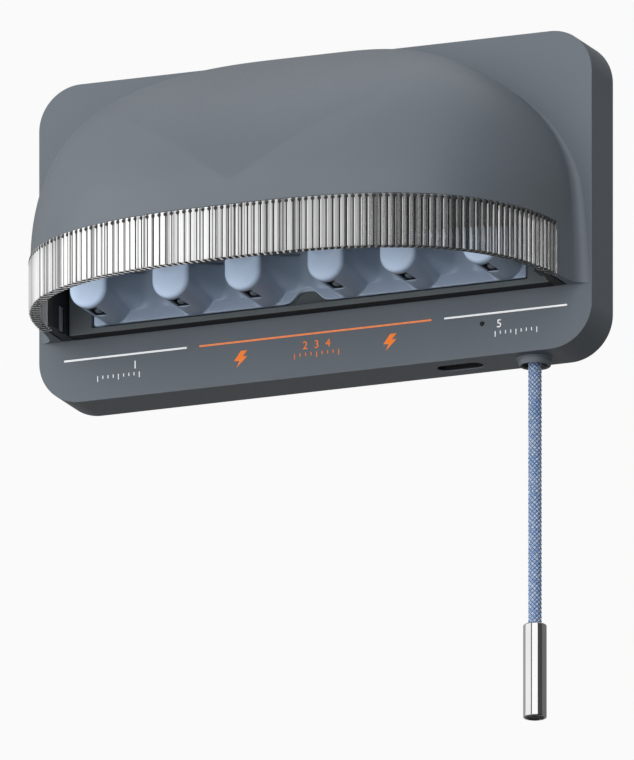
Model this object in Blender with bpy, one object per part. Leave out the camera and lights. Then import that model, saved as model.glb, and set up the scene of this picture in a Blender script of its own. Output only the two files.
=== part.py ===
"""Wall-mounted ultraviolet toothbrush steriliser with a pull cord.

Frame: the wall is the plane y = 0, the object stands out along -Y, +X is to
the right for someone facing it and +Z is up. The origin is on the wall, level
with the middle of the housing. Every driving dimension below is in millimetres.
"""

import math

import bmesh
import bpy
from mathutils import Matrix, Vector

MM = 0.001

# ---------------------------------------------------------------- dimensions
# housing slab
WIDTH = 226.0
HEIGHT = 124.7
BACK = -0.5            # rear edge of the housing, just clear of the wall
FRONT = -21.4          # front face
CORNER_R = 17.0
WALL = 2.2
EDGE_R = 0.6

# hood, a quarter dome standing on the front face
HOOD_A = 105.6         # half width
HOOD_B = 85.5          # depth from the front face
HOOD_TOP = HEIGHT / 2
HOOD_BOTTOM = -38.0    # lowest edge of the legs and of the fluted ring
RIM_Z = -17.3          # where the hood ends above the fluted ring
ARCH_Z0 = -6.8         # below this the sides are straight
ARCH_N = 2.13
DEPTH_Z0 = -9.7
DEPTH_N = 1.48
PLAN_N = (2.66, -1.45, 4.98)
HOOD_WALL = 2.4
LEG_DEPTH = 14.7       # the hood's legs reach this far from the front face
FLARE = 4.4            # how far the leg's foot spreads on the front face
FLARE_TOP = 6.0

# fluted ring
RING_TOP = -17.6
RING_WALL = 3.6

# tray frame and holder tray
FRAME_HALF = 98.1
FRAME_FRONT = -27.5
FRAME_TOP = -12.0
POCKET_FLOOR = -24.5
TRAY_HALF = 88.3
TRAY_BOTTOM = -34.9
TRAY_TOP = -16.2
TRAY_FRONT = -26.8
TRAY_BACK = -24.8
PEG_X = (-80.2, -46.5, -16.9, 16.9, 46.5, 80.2)
PEG_R = 7.2
PEG_AXIS_Z = -27.7
PEG_TOP = -21.0
PEG_TIP = -53.9
NOTCH_HALF = 8.6
NOTCH_HEIGHT = 5.1
HINGE_Y, HINGE_Z = -24.5, -16.2

# pull cord
CORD_X, CORD_Y = 85.4, -10.95
MOUTH_Z = -65.4
CORD_R = 2.45
HANDLE_TOP, HANDLE_BOTTOM, HANDLE_R = -166.8, -203.2, 4.45
PULL = 8.0             # travel of the cord
SLIDER_R = 3.95
SLIDER_Z = (-33.0, -18.6)
PLUNGER_Z = -28.0

# charging socket, indicator
USB_X, USB_Y = 55.0, -10.95
PIPE_X, PIPE_Z = 68.2, -49.5

# wall bracket
STUD_X, STUD_Z = 50.0, 20.0
LIFT = 10.0

# lamps
LAMP_X = (-31.7, 0.0, 31.7)
LAMP_Z = 2.0


# ---------------------------------------------------------------- scene
for old in list(bpy.data.objects):
    bpy.data.objects.remove(old, do_unlink=True)
for old in list(bpy.data.meshes):
    bpy.data.meshes.remove(old)
scene = bpy.context.scene
scene.unit_settings.scale_length = 1.0


def material(name, colour, rough, metal=0.0, alpha=1.0):
    mat = bpy.data.materials.new(name)
    mat.use_nodes = True
    shader = mat.node_tree.nodes["Principled BSDF"]
    shader.inputs["Base Color"].default_value = (*colour, 1.0)
    shader.inputs["Roughness"].default_value = rough
    shader.inputs["Metallic"].default_value = metal
    shader.inputs["Alpha"].default_value = alpha
    mat.diffuse_color = (*colour, 1.0)
    return mat


GREY = material("grey_shell", (0.155, 0.175, 0.19), 0.5)
DARK = material("dark_plastic", (0.03, 0.032, 0.035), 0.45)
CLEAR = material("clear_acrylic", (0.85, 0.87, 0.88), 0.08, alpha=0.4)
BLUE = material("blue_tray", (0.36, 0.48, 0.68), 0.4)
CORD = material("blue_cord", (0.2, 0.34, 0.62), 0.8)
STEEL = material("polished_steel", (0.62, 0.62, 0.63), 0.18, 1.0)
ZINC = material("zinc_steel", (0.5, 0.5, 0.5), 0.35, 1.0)
BOARD = material("circuit_board", (0.02, 0.13, 0.06), 0.5)
QUARTZ = material("quartz", (0.9, 0.92, 0.95), 0.05, alpha=0.35)
MIRROR = material("polished_aluminium", (0.82, 0.83, 0.84), 0.12, 1.0)
CERAMIC = material("lamp_ceramic", (0.75, 0.72, 0.6), 0.5)
CELL = material("cell_wrap", (0.35, 0.36, 0.38), 0.4)
FOAM = material("foam", (0.06, 0.06, 0.06), 0.9)
RUBBER = material("rubber", (0.04, 0.04, 0.04), 0.8)
NYLON = material("white_nylon", (0.7, 0.7, 0.68), 0.5)
WIRE = material("red_wire", (0.45, 0.03, 0.02), 0.5)


# ---------------------------------------------------------------- empties
ORIGINS = {}


def empty(name, at, parent=None):
    e = bpy.data.objects.new(name, None)
    e.empty_display_size = 0.01
    scene.collection.objects.link(e)
    base = ORIGINS[parent][1] if parent else Vector((0, 0, 0))
    e.location = (Vector(at) - base) * MM
    if parent:
        e.parent = ORIGINS[parent][0]
    ORIGINS[name] = (e, Vector(at))


empty("wall_origin", (0, 0, 0))
empty("lift_origin", (0, FRONT, 0), "wall_origin")
empty("tray_pivot", (0, HINGE_Y, HINGE_Z), "lift_origin")
empty("pull_origin", (CORD_X, CORD_Y, SLIDER_Z[1]), "lift_origin")
empty("swing_pivot", (CORD_X, CORD_Y, MOUTH_Z), "pull_origin")
empty("plunger_origin", (82.2, CORD_Y, PLUNGER_Z), "lift_origin")


# ---------------------------------------------------------------- mesh tools
def place(name, bm, mat, at=(0, 0, 0), parent="lift_origin", smooth=40.0):
    """Turns a bmesh in world millimetres into an object whose origin is at."""
    bmesh.ops.recalc_face_normals(bm, faces=bm.faces)
    bmesh.ops.transform(
        bm,
        matrix=Matrix.Scale(MM, 4) @ Matrix.Translation(-Vector(at)),
        verts=bm.verts,
    )
    mesh = bpy.data.meshes.new(name)
    bm.to_mesh(mesh)
    bm.free()
    if mat:
        mesh.materials.append(mat)
    obj = bpy.data.objects.new(name, mesh)
    scene.collection.objects.link(obj)
    base = Vector((0, 0, 0))
    if parent:
        obj.parent, base = ORIGINS[parent]
    obj.location = (Vector(at) - base) * MM
    if smooth:
        mesh.shade_smooth()
        mesh.set_sharp_from_angle(angle=math.radians(smooth))
    return obj


def tool(name, bm):
    obj = place(name, bm, None, parent=None, smooth=0)
    obj.hide_render = True
    obj.display_type = "WIRE"
    return obj


def boolean(obj, other, kind="DIFFERENCE"):
    mod = obj.modifiers.new(kind.title() + "_" + other.name, "BOOLEAN")
    mod.operation = kind
    mod.solver = "EXACT"
    mod.object = other


def loft(bm, loops, closed_ends=True):
    """Bridges loops of equal length, each a closed ring of points."""
    rings = [[bm.verts.new(p) for p in loop] for loop in loops]
    n = len(rings[0])
    for a, b in zip(rings, rings[1:]):
        for i in range(n):
            j = (i + 1) % n
            bm.faces.new((a[i], a[j], b[j], b[i]))
    if closed_ends:
        bm.faces.new(rings[0][::-1])
        bm.faces.new(rings[-1])
    return rings


def box(bm, x0, x1, y0, y1, z0, z1):
    xs, ys, zs = sorted((x0, x1)), sorted((y0, y1)), sorted((z0, z1))
    loops = [
        [
            (xs[0], ys[0], z),
            (xs[1], ys[0], z),
            (xs[1], ys[1], z),
            (xs[0], ys[1], z),
        ]
        for z in zs
    ]
    loft(bm, loops)


def basis(axis):
    """Two unit vectors that span the plane across an axis."""
    axis = Vector(axis).normalized()
    side = Vector((0, 0, 1)) if abs(axis.z) < 0.9 else Vector((1, 0, 0))
    u = side.cross(axis).normalized()
    return axis, u, axis.cross(u)


def turned(bm, centre, axis, profile, n=16, bore=False):
    """Turns a profile of (distance along axis, radius) about the axis.

    With bore the profile is itself a closed outline, and the body is a ring.
    """
    axis, u, w = basis(axis)
    centre = Vector(centre)
    loops = []
    for t, r in profile:
        loops.append(
            [
                centre
                + axis * t
                + (u * math.cos(2 * math.pi * i / n) + w * math.sin(2 * math.pi * i / n)) * r
                for i in range(n)
            ]
        )
    if not bore:
        loft(bm, loops)
        return
    rings = [[bm.verts.new(p) for p in loop] for loop in loops]
    for a, b in zip(rings, rings[1:] + rings[:1]):
        for i in range(n):
            j = (i + 1) % n
            bm.faces.new((a[i], a[j], b[j], b[i]))


def rod(bm, start, end, r, n=16):
    start, end = Vector(start), Vector(end)
    turned(bm, start, end - start, [(0, r), ((end - start).length, r)], n)


def rounded(half_w, half_h, r, steps=6, cx=0.0, cz=0.0):
    """Outline of a rectangle with round corners, as (x, z) points."""
    pts = []
    for sx, sz, a0 in ((1, 1, 0), (-1, 1, 90), (-1, -1, 180), (1, -1, 270)):
        for k in range(steps + 1):
            a = math.radians(a0 + 90.0 * k / steps)
            pts.append(
                (
                    cx + sx * (half_w - r) + r * math.cos(a),
                    cz + sz * (half_h - r) + r * math.sin(a),
                )
            )
    return pts


def slab(bm, outline, y0, y1, edge0=0.0, edge1=0.0, inset=None):
    """Extrudes an (x, z) outline from y0 to y1, with small chamfers at its ends."""
    loops = []
    if edge0:
        step = math.copysign(edge0, y1 - y0)
        loops.append([(x, y0, z) for x, z in inset(edge0)])
        loops.append([(x, y0 + step, z) for x, z in outline])
    else:
        loops.append([(x, y0, z) for x, z in outline])
    if edge1:
        step = math.copysign(edge1, y1 - y0)
        loops.append([(x, y1 - step, z) for x, z in outline])
        loops.append([(x, y1, z) for x, z in inset(edge1)])
    else:
        loops.append([(x, y1, z) for x, z in outline])
    loft(bm, loops)


def stadium(cx, cy, half_len, r, z0, z1, bm, steps=8):
    pts = []
    for side, a0 in ((1, -90), (-1, 90)):
        for k in range(steps + 1):
            a = math.radians(a0 + 180.0 * k / steps)
            pts.append((cx + side * (half_len - r) + r * math.cos(a), cy + r * math.sin(a)))
    loft(bm, [[(x, y, z) for x, y in pts] for z in (z0, z1)])


# ---------------------------------------------------------------- hood surface
def plan_curve(a, b, n, fine=400):
    """Half superellipse from the left foot to the right one, as (x, depth)."""
    pts = []
    for k in range(fine + 1):
        t = math.pi * k / fine
        c, s = math.cos(t), math.sin(t)
        pts.append((-math.copysign(abs(c) ** (2 / n), c) * a, abs(s) ** (2 / n) * b))
    return pts


def along(pts, fractions):
    """Points at fractions of the length of a polyline."""
    length = [0.0]
    for p, q in zip(pts, pts[1:]):
        length.append(length[-1] + math.dist(p, q))
    out, i = [], 0
    for f in fractions:
        want = f * length[-1]
        while i < len(pts) - 2 and length[i + 1] < want:
            i += 1
        span = length[i + 1] - length[i]
        t = 0.0 if span == 0 else min(1.0, max(0.0, (want - length[i]) / span))
        out.append(tuple(p + (q - p) * t for p, q in zip(pts[i], pts[i + 1])))
    return out


def fraction_at_depth(pts, depth):
    """How far along the half curve it first reaches a depth."""
    total = sum(math.dist(p, q) for p, q in zip(pts, pts[1:]))
    run = 0.0
    for p, q in zip(pts, pts[1:]):
        if q[1] >= depth:
            t = (depth - p[1]) / (q[1] - p[1])
            return (run + math.dist(p, q) * t) / total
        run += math.dist(p, q)
    return 0.5


LEG_COLUMNS, FRONT_COLUMNS = 3, 34


def hood_fractions(leg_depth, a, b):
    f = fraction_at_depth(plan_curve(a, b, PLAN_N[0]), leg_depth)
    left = [f * k / LEG_COLUMNS for k in range(LEG_COLUMNS)]
    middle = [f + (1 - 2 * f) * k / FRONT_COLUMNS for k in range(FRONT_COLUMNS + 1)]
    right = [1 - x for x in reversed(left)]
    return left + middle + right


def hood_level(z, less, fractions, flare):
    """One level curve of the hood, less millimetres inside its outer surface."""
    top = HOOD_TOP - less
    h = min(1.0, max(0.0, (z - ARCH_Z0) / (top - ARCH_Z0)))
    d = min(1.0, max(0.0, (z - DEPTH_Z0) / (top - DEPTH_Z0)))
    a = (HOOD_A - less) * (1 - h**ARCH_N) ** (1 / ARCH_N)
    b = (HOOD_B - less) * (1 - d**DEPTH_N) ** (1 / DEPTH_N)
    n = PLAN_N[0] + PLAN_N[1] * d + PLAN_N[2] * d * d
    pts = []
    for x, depth in along(plan_curve(a, b, n), fractions):
        if flare and z < FLARE_TOP:
            near = max(0.0, 1 - depth / LEG_DEPTH)
            low = (FLARE_TOP - z) / (FLARE_TOP - HOOD_BOTTOM)
            x += math.copysign(FLARE * near**2.2 * low * low * (3 - 2 * low), x)
        pts.append((x, FRONT - 0.3 - depth * (1 - 0.3 / HOOD_B), z))
    return pts


def hood_shell():
    bm = bmesh.new()
    levels = 12
    fr_out = hood_fractions(LEG_DEPTH, HOOD_A, HOOD_B)
    fr_in = hood_fractions(LEG_DEPTH, HOOD_A - HOOD_WALL, HOOD_B - HOOD_WALL)
    skins = []
    for less, fr in ((0.0, fr_out), (HOOD_WALL, fr_in)):
        top = HOOD_TOP - less
        zs = [HOOD_BOTTOM, RIM_Z, -12.0, ARCH_Z0] + [
            ARCH_Z0 + (top - ARCH_Z0) * math.sin(math.pi / 2 * k / levels)
            for k in range(1, levels)
        ]
        rows = [[bm.verts.new(p) for p in hood_level(z, less, fr, less == 0)] for z in zs]
        apex = bm.verts.new((0, FRONT - 0.3, top))
        skins.append((rows, apex))
    n = len(fr_out)
    legs = [i for i in range(n - 1) if i < LEG_COLUMNS or i >= n - 1 - LEG_COLUMNS]
    for (rows, apex), turn in zip(skins, (False, True)):
        def quad(*v):
            bm.faces.new(v[::-1] if turn else v)

        for k in range(len(rows) - 1):
            for i in legs if k == 0 else range(n - 1):
                quad(rows[k][i], rows[k][i + 1], rows[k + 1][i + 1], rows[k + 1][i])
        for i in range(n - 1):
            quad(rows[-1][i], rows[-1][i + 1], apex)
    (outer, apex_o), (inner, apex_i) = skins
    # bottom of the legs, the two steps up to the rim, and the rim itself
    for i in legs:
        bm.faces.new((outer[0][i], inner[0][i], inner[0][i + 1], outer[0][i + 1]))
    for i in range(LEG_COLUMNS, n - 1 - LEG_COLUMNS):
        bm.faces.new((outer[1][i], inner[1][i], inner[1][i + 1], outer[1][i + 1]))
    for i in (LEG_COLUMNS, n - 1 - LEG_COLUMNS):
        bm.faces.new((outer[0][i], outer[1][i], inner[1][i], inner[0][i]))
    # back rim against the housing
    for i in (0, n - 1):
        for k in range(len(outer) - 1):
            bm.faces.new((outer[k][i], inner[k][i], inner[k + 1][i], outer[k + 1][i]))
        bm.faces.new((outer[-1][i], inner[-1][i], apex_i, apex_o))
    unused = [v for v in bm.verts if not v.link_faces]
    bmesh.ops.delete(bm, geom=unused, context="VERTS")
    return place("hood_shell", bm, GREY, at=(0, FRONT, 0), smooth=30)


HOOD_SCREWS = ((-40.0, 54.0), (40.0, 54.0), (-100.3, 0.0), (100.3, 0.0))
COVER_SCREWS = ((-100.0, -48.0), (100.0, -48.0), (-100.0, 48.0), (100.0, 48.0))
BOARD_SCREWS = ((28.0, -22.0), (60.0, -22.0))
FRAME_SCREWS = ((-93.5, -25.0), (93.5, -25.0))

hood = hood_shell()
bosses = bmesh.new()
for x, z in HOOD_SCREWS:
    rod(bosses, (x, FRONT - 0.3, z), (x, FRONT - 9.0, z), 3.0, 10)
boolean(hood, tool("hood_boss_shapes", bosses), "UNION")
holes = bmesh.new()
for x, z in HOOD_SCREWS:
    rod(holes, (x, FRONT + 0.5, z), (x, FRONT - 7.6, z), 1.3, 8)
boolean(hood, tool("hood_screw_holes", holes))


# ---------------------------------------------------------------- fluted ring
def fluted_ring():
    """The clear ring's plain body, between its ends on the hood's legs."""
    bm = bmesh.new()
    columns = 44
    rows = []
    for less in (0.0, RING_WALL):
        pts = plan_curve(HOOD_A - less, HOOD_B - less, PLAN_N[0])
        f = fraction_at_depth(pts, LEG_DEPTH + 0.35)
        cut = [f + (1 - 2 * f) * k / columns for k in range(columns + 1)]
        rows.append([(x, FRONT - d) for x, d in along(pts, cut)])
    outline = rows[0] + rows[1][::-1]
    loft(bm, [[(x, y, z) for x, y in outline] for z in (HOOD_BOTTOM, RING_TOP)])
    return place("fluted_ring", bm, CLEAR, at=(0, FRONT - HOOD_B, HOOD_BOTTOM), smooth=30)


fluted_ring()

# brackets that carry the ends of the ring, inside the hood's legs
for side, word in ((-1, "left"), (1, "right")):
    bm = bmesh.new()
    plan = [
        (98.4, -21.7),
        (102.5, -21.7),
        (102.1, -35.6),
        (101.0, -36.6),
        (100.3, -43.2),
        (98.4, -43.2),
    ]
    loft(bm, [[(side * x, y, z) for x, y in plan] for z in (HOOD_BOTTOM, -14.0)])
    bracket = place("ring_bracket_" + word, bm, DARK, at=(side * 100.0, -32.0, -26.0))
    bm = bmesh.new()
    box(bm, side * 98.0, side * 99.4, -36.5, -31.2, -39.0, -27.5)
    boolean(bracket, tool("bracket_slot_" + word, bm))

# ---------------------------------------------------------------- housing
bm = bmesh.new()
half_w, half_h = WIDTH / 2, HEIGHT / 2
outer = lambda inset: rounded(half_w - inset, half_h - inset, CORNER_R - inset)
slab(bm, outer(0), BACK, FRONT, 0.3, EDGE_R, outer)
housing = place("front_housing", bm, GREY, at=(0, FRONT, 0), smooth=30)

bm = bmesh.new()
slab(bm, outer(WALL), 0.5, FRONT + WALL)
boolean(housing, tool("housing_cavity", bm))

bm = bmesh.new()
for x, z in COVER_SCREWS:
    rod(bm, (x, -5.6, z), (x, FRONT + WALL - 0.4, z), 3.5, 12)
for x, z in BOARD_SCREWS:
    rod(bm, (x, -14.4, z), (x, FRONT + WALL - 0.4, z), 2.6, 12)
boolean(housing, tool("housing_bosses", bm), "UNION")

bm = bmesh.new()
for x, z in COVER_SCREWS:
    rod(bm, (x, -5.0, z), (x, -17.0, z), 1.4, 8)
for x, z in BOARD_SCREWS:
    rod(bm, (x, -14.0, z), (x, -18.6, z), 1.2, 8)
for x, z in HOOD_SCREWS:
    rod(bm, (x, -18.8, z), (x, -22.0, z), 1.7, 10)
for x, z in FRAME_SCREWS:
    rod(bm, (x, -18.8, z), (x, -22.0, z), 1.7, 10)
rod(bm, (PIPE_X, -18.8, PIPE_Z), (PIPE_X, -22.0, PIPE_Z), 1.05, 14)
rod(bm, (CORD_X, CORD_Y, -59.8), (CORD_X, CORD_Y, -63.0), 5.8, 24)
stadium(USB_X, USB_Y, 9.25, 3.8, -63.0, -59.8, bm)
slab(bm, rounded(50.0, 5.0, 2.0, 3, cz=LAMP_Z), -18.8, -22.0)
boolean(housing, tool("housing_openings", bm))

# rear cover with two keyhole slots
bm = bmesh.new()
slab(bm, outer(WALL + 0.3), -3.3, -5.3)
cover = place("rear_cover", bm, GREY, at=(0, -5.3, 0))
bm = bmesh.new()
for x, z in COVER_SCREWS:
    rod(bm, (x, -2.5, z), (x, -6.0, z), 1.6, 12)
for x in (-STUD_X, STUD_X):
    pts = []
    for k in range(11):                      # round top of the slot
        a = math.pi * k / 10
        pts.append((x + 2.4 * math.cos(a), STUD_Z + 2.4 * math.sin(a)))
    low = STUD_Z - LIFT

    start = math.acos(2.4 / 4.7)
    for k in range(17):                      # the wide round entry below it
        a = math.pi - start + (math.pi + 2 * start) * k / 16
        pts.append((x + 4.7 * math.cos(a), low + 4.7 * math.sin(a)))
    slab(bm, pts, -2.5, -6.0)
boolean(cover, tool("cover_openings", bm))


def screw(name, x, z, head_y, head_r, head_t, length, shank_r, parent="lift_origin"):
    """Pan-head screw along Y with a cross-shaped recess left as a dimple."""
    bm = bmesh.new()
    turned(
        bm,
        (x, head_y, z),
        (0, -1, 0),
        [
            (0.45, head_r * 0.3),
            (0.0, head_r * 0.6),
            (0.5, head_r),
            (head_t, head_r),
            (head_t, shank_r),
            (head_t + length, shank_r),
        ],
        8,
    )
    return place(name, bm, ZINC, at=(x, head_y - head_t, z), parent=parent)


for i, (x, z) in enumerate(COVER_SCREWS):
    screw(f"cover_screw_{i + 1}", x, z, -1.4, 2.8, 1.6, 10.0, 1.1)
for i, (x, z) in enumerate(HOOD_SCREWS):
    screw(f"hood_screw_{i + 1}", x, z, -17.2, 2.75, 1.6, 8.6, 1.0)
for i, (x, z) in enumerate(BOARD_SCREWS):
    screw(f"board_screw_{i + 1}", x, z, -11.0, 2.2, 1.6, 5.2, 0.9)
for i, (x, z) in enumerate(FRAME_SCREWS):
    screw(f"frame_screw_{i + 1}", x, z, -17.2, 2.75, 1.6, 6.4, 1.0)

# ---------------------------------------------------------------- tray frame
bm = bmesh.new()
box(bm, -FRAME_HALF, FRAME_HALF, -21.7, FRAME_FRONT, HOOD_BOTTOM, FRAME_TOP)
frame = place("tray_frame", bm, GREY, at=(0, -21.7, HOOD_BOTTOM))
bm = bmesh.new()
box(bm, -TRAY_HALF - 0.8, TRAY_HALF + 0.8, POCKET_FLOOR, -28.5, TRAY_BOTTOM - 0.8, -14.4)
for x, z in FRAME_SCREWS:
    rod(bm, (x, -21.0, z), (x, -26.2, z), 1.3, 8)
boolean(frame, tool("tray_pocket", bm))

# ---------------------------------------------------------------- holder tray
bm = bmesh.new()
slab(
    bm,
    rounded(
        TRAY_HALF, (TRAY_TOP - TRAY_BOTTOM) / 2, 1.2, 3, cz=(TRAY_TOP + TRAY_BOTTOM) / 2
    ),
    TRAY_BACK,
    TRAY_FRONT,
)
tray = place("holder_tray", bm, BLUE, at=(0, HINGE_Y, HINGE_Z), parent="tray_pivot", smooth=35)

bm = bmesh.new()


def peg_outline(inset, steps=8):
    """Round-bottomed outline of a peg, flat on top with soft corners."""
    r = PEG_R - inset
    pts = []
    for k in range(steps + 1):
        a = math.pi + math.pi * k / steps
        pts.append((r * math.cos(a), PEG_AXIS_Z + r * math.sin(a)))
    top, c = PEG_TOP - inset, 2.0
    for k in range(3):
        a = math.radians(45 * k)
        pts.append((r - c + c * math.cos(a), top - c + c * math.sin(a)))
    for k in range(3):
        a = math.radians(90 + 45 * k)
        pts.append((-r + c + c * math.cos(a), top - c + c * math.sin(a)))
    return pts


for px in PEG_X:
    loops = []
    for y, inset in (
        (TRAY_FRONT + 0.6, 0.0),
        (PEG_TIP + 2.6, 0.0),
        (PEG_TIP + 1.2, 0.5),
        (PEG_TIP + 0.4, 1.7),
        (PEG_TIP, 4.0),
    ):
        loops.append([(px + x, y, z) for x, z in peg_outline(inset)])
    loft(bm, loops)
boolean(tray, tool("peg_shapes", bm), "UNION")

bm = bmesh.new()
pts = [(NOTCH_HALF, TRAY_BOTTOM - 1.0), (-NOTCH_HALF, TRAY_BOTTOM - 1.0)]
for k in range(15):
    t = -1 + 2 * k / 14
    pts.append(
        (NOTCH_HALF * t, TRAY_BOTTOM + NOTCH_HEIGHT * (0.5 + 0.5 * math.cos(math.pi * t)) - 0.02)
    )
slab(bm, pts, -24.0, -27.2)
for px in PEG_X:
    box(bm, px - 2.6, px + 2.6, -49.8, -37.5, -36.0, -32.3)
boolean(tray, tool("tray_cuts", bm))

for i, px in enumerate(PEG_X):
    bm = bmesh.new()
    turned(
        bm,
        (px, -43.0, -32.6),
        (0, 0, -1),
        [(0.0, 2.0), (0.8, 2.0), (1.2, 1.6), (1.4, 0.8)],
        12,
    )
    place(f"peg_lens_{i + 1}", bm, DARK, at=(px, -43.0, -32.6), parent="tray_pivot")

# ---------------------------------------------------------------- lamps
bm = bmesh.new()
slab(bm, rounded(53.0, 6.5, 1.5, 2, cz=LAMP_Z), -17.7, -18.9)
place("uv_window", bm, QUARTZ, at=(0, -18.3, LAMP_Z))

bm = bmesh.new()
box(bm, -53.0, 53.0, -14.0, -17.4, LAMP_Z - 7.0, LAMP_Z + 7.0)
reflector = place("uv_reflector", bm, MIRROR, at=(0, -15.7, LAMP_Z))
bm = bmesh.new()
for x in LAMP_X:
    loft(
        bm,
        [
            [
                (x + sx * h, y, LAMP_Z + sz * h)
                for sx, sz in ((-1, -1), (1, -1), (1, 1), (-1, 1))
            ]
            for y, h in ((-13.6, 2.0), (-17.8, 5.6))
        ],
    )
boolean(reflector, tool("reflector_cups", bm))

bm = bmesh.new()
box(bm, -50.0, 50.0, -10.8, -12.0, LAMP_Z - 6.0, LAMP_Z + 6.0)
place("uv_led_board", bm, BOARD, at=(0, -11.4, LAMP_Z))
for i, x in enumerate(LAMP_X):
    bm = bmesh.new()
    turned(
        bm,
        (x, -12.3, LAMP_Z),
        (0, -1, 0),
        [(0.0, 2.4), (0.7, 2.4), (0.7, 1.5), (1.1, 1.2), (1.3, 0.6)],
        4 * 3,
    )
    place(f"uv_led_{i + 1}", bm, CERAMIC, at=(x, -12.3, LAMP_Z))

# ---------------------------------------------------------------- electronics
bm = bmesh.new()
box(bm, 22.0, 78.3, -12.9, -14.1, -57.0, -17.0)
board = place("main_board", bm, BOARD, at=(50.0, -13.5, -37.0))
bm = bmesh.new()
for x, z in BOARD_SCREWS:
    rod(bm, (x, -12.5, z), (x, -14.5, z), 1.3, 12)
boolean(board, tool("board_holes", bm))

bm = bmesh.new()
box(bm, -72.0, -4.0, -7.6, -13.4, -52.0, -14.0)
cell = place("battery_pack", bm, CELL, at=(-38.0, -10.5, -33.0))
bevel = cell.modifiers.new("Bevel", "BEVEL")
bevel.width, bevel.segments = 0.0012, 2

bm = bmesh.new()
box(bm, -66.0, -10.0, -13.7, -18.9, -46.0, -20.0)
place("battery_foam_pad", bm, FOAM, at=(-38.0, -16.3, -33.0))

# the receptacle's shell: a rounded tube closed at its inner end
bm = bmesh.new()
stadium(USB_X, USB_Y, 4.5, 1.6, -59.6, -52.7, bm, 5)
usb = place("usb_socket", bm, ZINC, at=(USB_X, USB_Y, -56.0))
bm = bmesh.new()
stadium(USB_X, USB_Y, 4.15, 1.25, -60.0, -54.0, bm, 5)
boolean(usb, tool("usb_mouth", bm))
bm = bmesh.new()
box(bm, USB_X - 3.3, USB_X + 3.3, USB_Y - 0.35, USB_Y + 0.35, -53.4, -58.6)
boolean(usb, tool("usb_tongue", bm), "UNION")

bm = bmesh.new()
box(bm, 66.2, 78.5, -7.4, -12.6, -31.5, -24.5)
switch = place("micro_switch", bm, DARK, at=(72.0, -10.0, PLUNGER_Z))
bm = bmesh.new()
rod(bm, (75.2, CORD_Y, PLUNGER_Z), (79.0, CORD_Y, PLUNGER_Z), 1.3, 14)
boolean(switch, tool("switch_bore", bm))

bm = bmesh.new()
turned(
    bm,
    (76.8, CORD_Y, PLUNGER_Z),
    (1, 0, 0),
    [(0, 1.0), (4.7, 1.0), (5.2, 0.75), (5.4, 0.35)],
    12,
)
place("switch_plunger", bm, NYLON, at=(82.2, CORD_Y, PLUNGER_Z), parent="plunger_origin")

bm = bmesh.new()
box(bm, PIPE_X - 1.0, PIPE_X + 1.0, -14.4, -15.5, PIPE_Z - 0.8, PIPE_Z + 0.8)
place("indicator_led", bm, CERAMIC, at=(PIPE_X, -15.0, PIPE_Z))
bm = bmesh.new()
turned(
    bm,
    (PIPE_X, -15.9, PIPE_Z),
    (0, -1, 0),
    [(0, 1.7), (1.2, 1.7), (1.2, 0.75), (5.3, 0.75), (5.5, 0.5)],
    12,
)
place("indicator_light_pipe", bm, CLEAR, at=(PIPE_X, -21.4, PIPE_Z))

# ---------------------------------------------------------------- pull switch
bm = bmesh.new()
box(bm, 78.9, 91.9, -5.7, -16.3, -59.8, -18.0)
guide = place("slider_guide", bm, DARK, at=(CORD_X, CORD_Y, -59.8))
bm = bmesh.new()
turned(
    bm,
    (CORD_X, CORD_Y, -61.0),
    (0, 0, 1),
    [(0, 3.2), (3.2, 3.2), (3.2, 4.25), (44.0, 4.25)],
    20,
)
boolean(guide, tool("guide_bore", bm))
bm = bmesh.new()
box(bm, 78.0, 83.0, CORD_Y - 1.6, CORD_Y + 1.6, PLUNGER_Z - 1.8, PLUNGER_Z + 1.8)
boolean(guide, tool("guide_window", bm))

bm = bmesh.new()
box(bm, 78.9, 91.9, -5.7, -16.3, -17.7, -16.1)
place("guide_cap", bm, DARK, at=(CORD_X, CORD_Y, -17.7))

bm = bmesh.new()
turned(
    bm,
    (CORD_X, CORD_Y, 0),
    (0, 0, 1),
    [
        (SLIDER_Z[0], 1.4),
        (SLIDER_Z[0], SLIDER_R),
        (SLIDER_Z[1], SLIDER_R),
        (SLIDER_Z[1], 2.5),
        (-21.0, 2.5),
        (-21.0, 1.4),
    ],
    20,
    bore=True,
)
slider = place(
    "cord_slider", bm, NYLON, at=(CORD_X, CORD_Y, SLIDER_Z[1]), parent="pull_origin"
)
bm = bmesh.new()
ramp = lambda z: CORD_X - (SLIDER_R - 1.2) - 0.1 * (z + 29.0)
loft(
    bm,
    [
        [
            (CORD_X - 6.0, y, -35.0),
            (ramp(-35.0), y, -35.0),
            (ramp(-17.0), y, -17.0),
            (CORD_X - 6.0, y, -17.0),
        ]
        for y in (CORD_Y - 5.0, CORD_Y + 5.0)
    ],
)
boolean(slider, tool("slider_ramp", bm))

bm = bmesh.new()
turned(
    bm,
    (CORD_X, CORD_Y, 0),
    (0, 0, 1),
    [(-38.0, 2.6), (-33.3, 2.6), (-33.3, 1.1), (-20.7, 1.1), (-20.7, 2.2), (-19.3, 2.0)],
    14,
)
place("cord_ferrule", bm, ZINC, at=(CORD_X, CORD_Y, -38.0), parent="pull_origin")


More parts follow.
